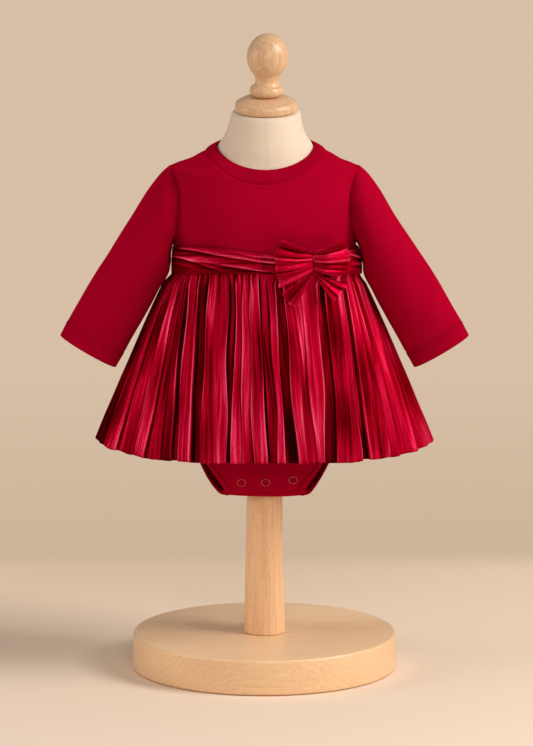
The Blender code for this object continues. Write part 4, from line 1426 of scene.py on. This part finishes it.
def add_snaps():
    """Ring snaps pressed into the flap's face, each a waved ring that breaks up where cloth covers it."""
    turn = turns_of(SNAP_STEPS)[:, None]
    spin = turns_of(SNAP_SIDES)[:, None]
    faces = grid_faces(SNAP_STEPS, SNAP_SIDES, closed=True, looped=True)
    for n, (name, x, z) in enumerate(zip(("left", "centre", "right"), *SNAPS.values())):
        share = abs(x / panty_front_at["half_width"](z)) ** (BODY_POWER / 2)
        across = math.copysign(math.degrees(math.asin(share)) / 90, x)
        up = panty_front_points(across, z + 0.5) - panty_front_points(across, z - 0.5)
        along = unit(panty_front_points(across + 0.02, z) - panty_front_points(across - 0.02, z))
        normal = unit(np.cross(along, up))
        ray = along * np.cos(turn) + np.cross(normal, along) * np.sin(turn)
        rise = 0.26 + 0.2 * np.cos(5 * turn + n)
        centre = panty_front_points(across, z) + ray * SNAP_RING + normal * rise
        wire = (ray[:, None] * np.cos(spin) + normal * np.sin(spin)) * SNAP_WIRE
        points = (centre[:, None] + wire).reshape(-1, 3)
        made = add_mesh(f"snap_ring_{name}", points, faces, SNAP_METAL)
        join_up(made, "snap_metal", f"snap_{name}")


# Skirt, lining, sash and bow


SKIRT_ROOM = table("""
down room
0 1.8
0.03 2.6
0.065 4.4
0.1 6
0.19 8.6
0.3 11
0.5 13.5
1 16.5
""")
skirt_room = curve(SKIRT_ROOM, "room", "down")


def hem_z(angle):
    """Height of the skirt's hem, which dips to the front and back."""
    side = HEM_SIDE - HEM_SLANT * np.sin(np.radians(angle))
    level = side + (HEM_FRONT - side) * np.abs(np.cos(np.radians(angle)))
    return level - HEM_SAG * np.sin(np.radians(2 * angle)) ** 2


def skirt_points(angle, down, low, waist_out, depth):
    """Points of a skirt layer, `depth` in from its ridges, and `waist_out` off the bodice at the waist."""
    top = waist_z(angle) + SKIRT_TUCK
    z = top + down * (low - top)
    share = smooth(down / WAIST_BLEND)
    sizes = [skirt_at[k](down) - depth for k in ("half_width", "front", "back")]
    hung = level_points(angle, z, *sizes, BODY_POWER + (2.0 - BODY_POWER) * share)
    return blend(body_points(angle, z, waist_out), hung, share[..., None])


def pleat_columns(pleats, seed):
    """Columns of points over half a skirt: arrays of each one's place, pleat face and the face's traits."""
    draw = np.random.default_rng(seed)
    columns = []
    rows = rows_of(pleats)
    for n, (row, later) in enumerate(zip(rows, rows[1:])):
        wide = (later["hem"] - row["hem"]) * HEM_PER_DEGREE
        count = int(np.clip(round(wide / COLUMN_PITCH), 4, 16))
        nudge = min(0.12, 0.28 / wide)
        ends = np.array((nudge, nudge + 0.5 / wide))
        inner = np.linspace(0, 1, count + 1)[1:-1]
        inner = inner[(inner > ends[1] + 0.02) & (inner < 1 - ends[1] - 0.02)]
        shares = np.concatenate((ends, inner, 1 - ends[::-1]))
        fine = draw.uniform(-0.6, 0.6, len(shares)) * (draw.uniform(size=len(shares)) < 0.7)
        fine[[0, 1, -2, -1]] = 0.0
        first_drop = np.clip((row["after"] - row["before"]) / 4, -1, 1)
        last_drop = np.clip((later["before"] - later["after"]) / 4, -1, 1)
        for share, thread in zip(shares, fine):
            # rim paints a thin highlight on the raised side of each knife edge and shade on its deep side
            rim = 0.0
            for drop, far in ((first_drop, share * wide), (last_drop, (1 - share) * wide)):
                rim -= drop * math.exp(-(((far - 0.3) / (1.1 if drop > 0 else 0.9)) ** 2))
            place = [row[name] + share * (later[name] - row[name]) for name in ("waist", "hem")]
            columns.append((*place, share, n, row["after"], later["before"], row["nap"], thread, rim))
    names = ("waist", "hem", "share", "face", "left", "right", "nap", "fine", "rim")
    return dict(zip(names, np.transpose(columns)[:, None]))


def pleat_depth(columns, down, run, vary, seed):
    """Flat faces that turn a little as they fall, with knife edges and deep folds between them."""
    face = columns["face"]
    share = columns["share"]
    turn = 1 + 0.35 * vary(face * 0.9, down * 1.2)
    middle = (columns["left"] + columns["right"]) / 2
    tilt = (columns["right"] - columns["left"]) * (share - 0.5)
    swing = 1.6 * vary(face * 1.7 + 30, down * 0.9) * (share - 0.5) * smooth((12 - middle) / 4)
    crown = -0.5 * np.sin(np.pi * share)
    pleat = middle + tilt * np.clip(turn, 0.3, 1.8) + swing + crown + 0.8
    slip = 0.6 * vary(face * 2.3 + 60, down * 1.2)
    rolls = 1.6 * (0.8 + swell(seed + 9, 7, 0.02, 0.05)(run, down * 4))
    growth = down**FOLD_GROWTH
    return growth * (pleat + slip) + columns["fine"] * smooth(down / 0.2) + growth * rolls


def waist_gathers(columns, down, run, ahead, seed):
    """How deep the small gathers under the sash lie, and where their lit sides are."""
    wobble = swell(seed + 3, 8, 0.02, 0.09)(run, 0.0)
    phase = 2 * np.pi * (columns["waist"] / 180 * GATHERS) + 3.4 * wobble
    reach = 0.2 + 0.22 * np.clip(swell(seed + 4, 7, 0.03, 0.12)(run, 0.0), -0.6, 1.5)
    lively = np.clip(0.8 + 0.6 * swell(seed + 5, 6, 0.03, 0.1)(run, 10.0), 0.15, 1.7)
    lean = phase + 5 * down * swell(seed + 10, 5, 0.02, 0.06)(run, 0.0)
    valley = (0.5 + 0.5 * np.sin(lean)) ** 2.2
    gather = valley * np.clip(1 - down / reach, 0, 1) * lively
    lip = bell(valley - 0.3, 0.13) * (np.cos(lean) * ahead > 0) * np.clip(1.1 - down / reach, 0, 1)
    return gather, lip * lively


def skirt_grid(pleats, ahead, seed):
    """Points of half the pleated skirt, the tone of its pile at each with painted shade and painted
    highlights in it, and each column's pleat face.
    """
    columns = pleat_columns(pleats, seed)
    parts = (np.linspace(0, 0.12, 16), np.linspace(0.12, 0.4, 26)[1:], np.linspace(0.4, 1, 40)[1:])
    down = np.concatenate(parts)[:, None]
    sway = swell(seed + 1, 9, 0.3, 1.6)
    vary = swell(seed + 2, 9, 0.4, 2.2)
    face = columns["face"]
    angle = columns["waist"] + (columns["hem"] - columns["waist"]) * down**FOLD_FAN
    run = columns["hem"] / 180 * HEM_HALF_GIRTH * ahead
    free = smooth(down / 0.25) * smooth((90 - np.abs(angle)) / 6)
    angle = angle + 0.5 * sway(run * 0.05, down * 1.6) * free
    depth = pleat_depth(columns, down, run, vary, seed)
    gather, lip = waist_gathers(columns, down, run, ahead, seed)
    depth = depth + 6.5 * gather * smooth(down / 0.06 + 0.35)
    crush = 0.5 * swell(seed + 7, 16, 0.05, 0.2)(run, down * 12)
    depth = depth + crush * smooth(down / 0.06)
    depth = depth * (1 - 0.35 * smooth((np.abs(angle) - 50) / 28))
    cap = skirt_room(down)
    depth = cap * np.tanh(np.maximum(depth, 0) / cap) + np.maximum(np.minimum(depth, 0), -1.2)
    seam = smooth((np.abs(angle) - 86.5) / 3.0)
    depth = depth * (1 - seam) + 0.4 * down * seam
    nap = np.maximum(columns["nap"], -0.24) * smooth(down / 0.12) + 0.1 * vary(face * 3.1 + 90, down * 1.4)
    # Painted highlight on the raised side of each knife edge and painted shade on its deep side, painted
    # shade in the gathers' valleys and painted highlight on their lit sides
    edge = np.where(columns["rim"] > 0, 0.32, 0.36) * columns["rim"]
    nap = nap + edge * smooth(down / 0.1) - 0.6 * gather + 0.34 * lip
    # Brighter near the waist; painted shade darkens the left side, away from the key light, and the right
    # side is a little brighter
    nap = nap + 0.04 * (1 - smooth(down / 0.2))
    nap = nap + 0.02 * smooth((run * ahead - 60) / 120) - 0.02
    nap = nap - 0.05 * smooth((-run * ahead - 60) / 60) + 0.05 * (1 - smooth(down / 0.35))
    angle = angle if ahead > 0 else 180 - angle
    low = hem_z(angle) + (0.7 * vary(face * 1.7 + 9, 0.0) - 0.1 * depth) * np.abs(np.cos(np.radians(angle)))
    at_waist = SKIRT_OUT - np.minimum(depth, WAIST_DEPTH)
    grid = skirt_points(angle, np.broadcast_to(down, angle.shape), low, at_waist, depth)
    grid[..., 1] -= ahead * HALF_GAP
    return grid, nap, face[0]


def add_skirt():
    """Pleated velvet front and back."""
    for half, pleats, ahead, seed in (("front", FRONT_PLEATS, 1, 101), ("back", BACK_PLEATS, -1, 202)):
        grid, nap, faces = skirt_grid(pleats, ahead, seed)
        name = f"skirt_{half}_velvet"
        made = add_cloth(name, grid, VELVET, VELVET_RED, INSIDE_SKIRT, shift=faces * PLEAT_SHIFT, nap=nap)
        join_up(made, "velvet", f"skirt_{half}")


def add_lining():
    """Plain lining under the skirt, one ring; its hem dips below the skirt's in places."""
    angle, down = np.meshgrid(np.arange(0, 360, 2.5), np.linspace(0, 1, 34))
    inset = skirt_room(down) + 1.2
    around = (angle + 180) % 360 - 180
    dips = sum(bell(around - dip["angle"], dip["spread"]) for dip in rows_of(LINING_DIPS))
    waves = 1.2 * (1 + np.sin(np.radians(angle) * 17 + 1.5 * np.sin(np.radians(angle) * 3))) * down
    low = LINING_HEM - LINING_DIP * np.minimum(1.0, dips)
    grid = skirt_points(angle, down, low, LINING_OUT, inset + waves)
    made = add_cloth("skirt_lining_cloth", grid, LINING, LINING_RED, INSIDE_SKIRT, closed=True)
    join_up(made, "lining", "skirt_lining")


# How wide the sash may stand on either side, and how it narrows upwards, to clear the sleeves
SASH_SIDES = ((-1, 99.6, 0.0031), (1, 104.2, 0.008))


def add_sash():
    """Wrapped velvet sash: long laps cross it at a slant, each with a rolled lower edge."""
    angle, up = np.meshgrid(np.arange(0, 360, 1.25), np.linspace(0, 1, 61))
    around = (angle + 180) % 360 - 180
    out = sash_at["out"](up)
    nap = 0.0 * up
    for lap in rows_of(SASH_LAPS):
        xs = [lap[f"angle{k}"] for k in range(3)]
        fit = np.polyfit(xs, [lap[f"up{k}"] for k in range(3)], 2)
        here = xs[0] + (angle - xs[0] + 40) % 360 - 40
        line = np.polyval(fit, np.clip(here, xs[0] - 6, xs[2] + 6))
        ends = smooth((here - xs[0] + 6) / 20) * smooth((xs[2] + 6 - here) / 20)
        away = up - line
        below = np.exp(-np.maximum(-away, 0) / 0.16)
        above = np.exp(-np.maximum(away, 0) / 0.016)
        rolled = 0.7 * bell(away - 0.08, 0.06)
        out = out - 1.35 * lap["depth"] * ends * (np.where(away < 0, below, above) - rolled)
        # Painted shade just below each lap's edge and a painted highlight along its rolled edge
        dark = np.exp(-np.maximum(-away, 0) / 0.075) * (away < 0.012)
        nap = nap + lap["depth"] * ends * (0.2 * bell(away - 0.08, 0.07) - 0.22 * dark)
    nap = nap - 0.08 + 0.14 * swell(43, 8, 0.003, 0.012)(around, up * 30)
    # Painted light: the sash's right side, towards the key light, is a little brighter
    nap = nap + 0.06 * smooth((around - 50) / 20) * smooth((110 - around) / 20)
    soft = swell(41, 9, 0.004, 0.012)(around, up * 40) * 0.5
    crush = swell(42, 12, 0.02, 0.07)(around, up * 60) * 0.2
    lip = -1.6 * np.exp(-up / 0.03) - 1.4 * np.exp(-(1 - up) / 0.035)
    out = np.maximum(out + soft + crush, 6.9 - 5.3 * smooth((up - 0.3) / 0.5)) + lip * 0.5
    out = out + 1.2 * np.abs(np.sin(np.radians(angle))) ** 20 * smooth((0.9 - up) / 0.5)
    z = waist_z(angle) + SEAM_GAP + up * sash_height_at["height"](around)
    grid = body_points(angle, z, out)
    for side, widest, narrowing in SASH_SIDES:
        limit = widest - narrowing * np.maximum(grid[..., 2] - 438, 0) ** 2
        beyond = side * grid[..., 0] - (limit - 1.4)
        grid[..., 0] -= side * np.where(beyond > 0, beyond - 1.4 * np.tanh(beyond / 1.4), 0)
    made = add_cloth(
        "sash_velvet", grid, VELVET, VELVET_RED, INSIDE_WAIST, closed=True, sideways=True, nap=nap
    )
    join_up(made, "velvet", "sash")


def bow_grid(rays, path, side, rows, columns, seed):
    """Points of a loop or tail: columns run across its rays and rows along its path."""
    ray_at = curves(rays, "ray")
    path_at = curves(path, "step")
    last = rays["ray"][-1]
    ray, step = np.meshgrid(np.linspace(0, last, columns), np.linspace(0, path["step"][-1], rows))
    along = path_at["along"](step)
    lift = path_at["lift"](step)
    spread = path_at["out"](step)
    start_x = PINCH_X + side * SEAM_GAP
    fine = swell(seed, 6, 0.25, 0.9)(ray * 1.6, along * 0.35)
    end_x = ray_at["end_x"](ray) + side * 0.8 * np.cos(ray * np.pi)
    x = start_x + along * (end_x - start_x)
    pinch_z = ray_at["pinch_z"](ray)
    z = pinch_z + along * (ray_at["end_z"](ray) - pinch_z)
    back = PINCH_Y + BOW_SLOPE * (x - PINCH_X) + 0.004 * np.maximum(0.0, x - PINCH_X) ** 2
    crease = np.abs(ray - np.round(ray))
    plane = np.floor(ray)
    deep = 0.65 + 0.5 * np.sin(np.round(ray) * 2.3 + seed)
    ridges = 0.8 * ray_at["out"](ray) + 2.6 * deep * (np.sqrt(np.minimum(crease * 2, 1)) - 0.6) + 0.7 * fine
    crush = swell(seed + 1, 10, 0.04, 0.16)(x, z) * 0.3
    # Painted highlight along the outer rims and the ends, and painted shade in the valleys between the folds
    rim = np.exp(-(np.minimum(ray, last - ray) / 0.1)) + np.exp(-(np.abs(along - 1) / 0.035))
    nap = 0.08 * fine + 0.09 * np.sin(plane * 1.9 + seed * 0.7) + 0.26 * np.minimum(rim, 1)
    nap = nap - 0.4 * deep * bell(crease, 0.08) * smooth(along * 4)
    return stack(x, back - lift - spread * ridges - crush * spread, z), nap


def add_bow():
    """Two loops folded back on themselves, and two tails, pinched together over the sash."""
    pieces = (
        ("bow_loop_left", LOOP_LEFT, LOOP_PATH, -1, 64, 97, 61, 0.05, 0.085),
        ("bow_loop_right", LOOP_RIGHT, LOOP_PATH, 1, 64, 81, 62, 0.045, 0.08),
        ("bow_tail_left", TAIL_LEFT, TAIL_PATH, -1, 40, 49, 63, 0.024, 0.04),
        ("bow_tail_right", TAIL_RIGHT, TAIL_PATH, 1, 40, 49, 64, 0.022, 0.04),
    )
    for name, rays, path, side, rows, columns, seed, width, length in pieces:
        grid, nap = bow_grid(rays, path, side, rows, columns, seed)
        lift = 5.0 if path is LOOP_PATH else -40.0
        middle = grid[rows // 2, columns // 2].copy()
        middle[1] = PINCH_Y + BOW_SLOPE * (middle[0] - PINCH_X) - lift
        made = add_cloth(f"{name}_velvet", grid, VELVET, VELVET_RED, middle, nap=nap)
        join_up(made, "velvet", name)


# Floor, light and camera


FLOOR_HALF = 7000.0


def add_stage():
    """Pale floor, painted darker towards the back as painted falloff of light, that passes softly some way
    behind the stand into a glowing backdrop, painted darker just above the floor line as painted shade.
    """
    m = Shader("floor", (0.84, 0.72, 0.58), 0.9)
    m.set(**{"Specular IOR Level": 0.15})
    where = m.node("SeparateXYZ", {"Vector": m.node("TexCoord").outputs["Object"]})
    depth = where.outputs["Y"]
    grit = m.noise(220.0, m.place(), 3.0)
    # Painted shade: the floor's colour darkens towards the back
    near = m.level(depth, -0.5, 0.5)
    tone = m.mix(near, (0.825, 0.68, 0.55), (0.80, 0.635, 0.485))
    m.set(**{"Base Color": m.mix(m.maths("MULTIPLY", m.level(grit, 0.3, 0.7), 0.07), tone, (1.0, 0.9, 0.8))})
    m.set(Normal=m.bump(grit, 0.15, 0.6))
    # The backdrop glows instead of being lit: painted light, darker just above the floor line as painted
    # shade
    glow = m.node("Emission", {"Strength": 1.0})
    far = m.level(depth, 0.5, 1.4)
    m.feed(glow.inputs["Color"], m.mix(far, (0.60, 0.455, 0.325), (0.685, 0.522, 0.385)))
    blend = m.node("MixShader")
    links = {"Value": depth, "From Min": 0.44, "From Max": 0.56}
    step = m.node("MapRange", links, interpolation_type="SMOOTHSTEP")
    m.feed(blend.inputs["Fac"], step.outputs["Result"])
    m.feed(blend.inputs[1], m.principled.outputs["BSDF"])
    m.feed(blend.inputs[2], glow.outputs["Emission"])
    m.feed(m.tree.nodes["Material Output"].inputs["Surface"], blend.outputs["Shader"])
    corners = [(x * FLOOR_HALF, y * FLOOR_HALF, 0) for x, y in ((-1, -1), (1, -1), (1, 1), (-1, 1))]
    floor = add_mesh("floor", corners, [(0, 1, 2, 3)], m.material)
    floor.location = (0, 0, -0.0004)


LIGHTS_LOOK_AT = (0, 0, 0.35)


def add_area(name, place, size, power, colour):
    """A soft area light that looks at the dress."""
    light = bpy.data.lights.new(name, "AREA")
    light.shape = "RECTANGLE"
    light.size, light.size_y = size
    light.energy = power
    light.color = colour
    made = add_object(name, light)
    made.location = place
    made.rotation_mode = "QUATERNION"
    made.rotation_quaternion = (Vector(LIGHTS_LOOK_AT) - Vector(place)).to_track_quat("-Z", "Y")


def add_light():
    """Strong softbox from the right, weaker ones from the left and the front, and an even pale surround."""
    world = bpy.data.worlds.new("surround")
    world.use_nodes = True
    back = world.node_tree.nodes["Background"]
    back.inputs["Color"].default_value = (0.78, 0.70, 0.61, 1.0)
    back.inputs["Strength"].default_value = 0.43
    bpy.context.scene.world = world
    add_area("key", (2.1, -0.75, 2.0), (1.3, 1.3), 70.0, (1.0, 0.97, 0.94))
    add_area("fill", (-2.3, -0.5, 1.1), (0.9, 1.4), 16.5, (1.0, 0.96, 0.92))
    add_area("front", (0.3, -2.6, 1.5), (0.9, 0.6), 16.0, (1.0, 0.97, 0.94))


def add_camera():
    """Level picture scale everywhere, looking a little down on the dress's front."""
    camera = bpy.data.cameras.new("camera")
    camera.type = "ORTHO"
    camera.ortho_scale = PICTURE_HIGH * MM_PER_PX * MM
    camera.clip_start = 0.05
    camera.clip_end = 30.0
    made = add_object("camera", camera)
    tilt = math.radians(ELEVATION)
    away = CAMERA_AWAY
    made.location = (CENTRE_X * MM, -away * math.cos(tilt), CENTRE_Z * MM + away * math.sin(tilt))
    made.rotation_euler = (math.radians(90) - tilt, 0, 0)
    bpy.context.scene.camera = made


add_stand()
add_form()
add_bodice()
add_neckband()
add_sleeves()
add_panty()
add_snaps()
add_lining()
add_skirt()
add_sash()
add_bow()
add_stage()
add_light()
add_camera()
bpy.context.scene.view_settings.view_transform = "Standard"

bpy.context.view_layer.update()
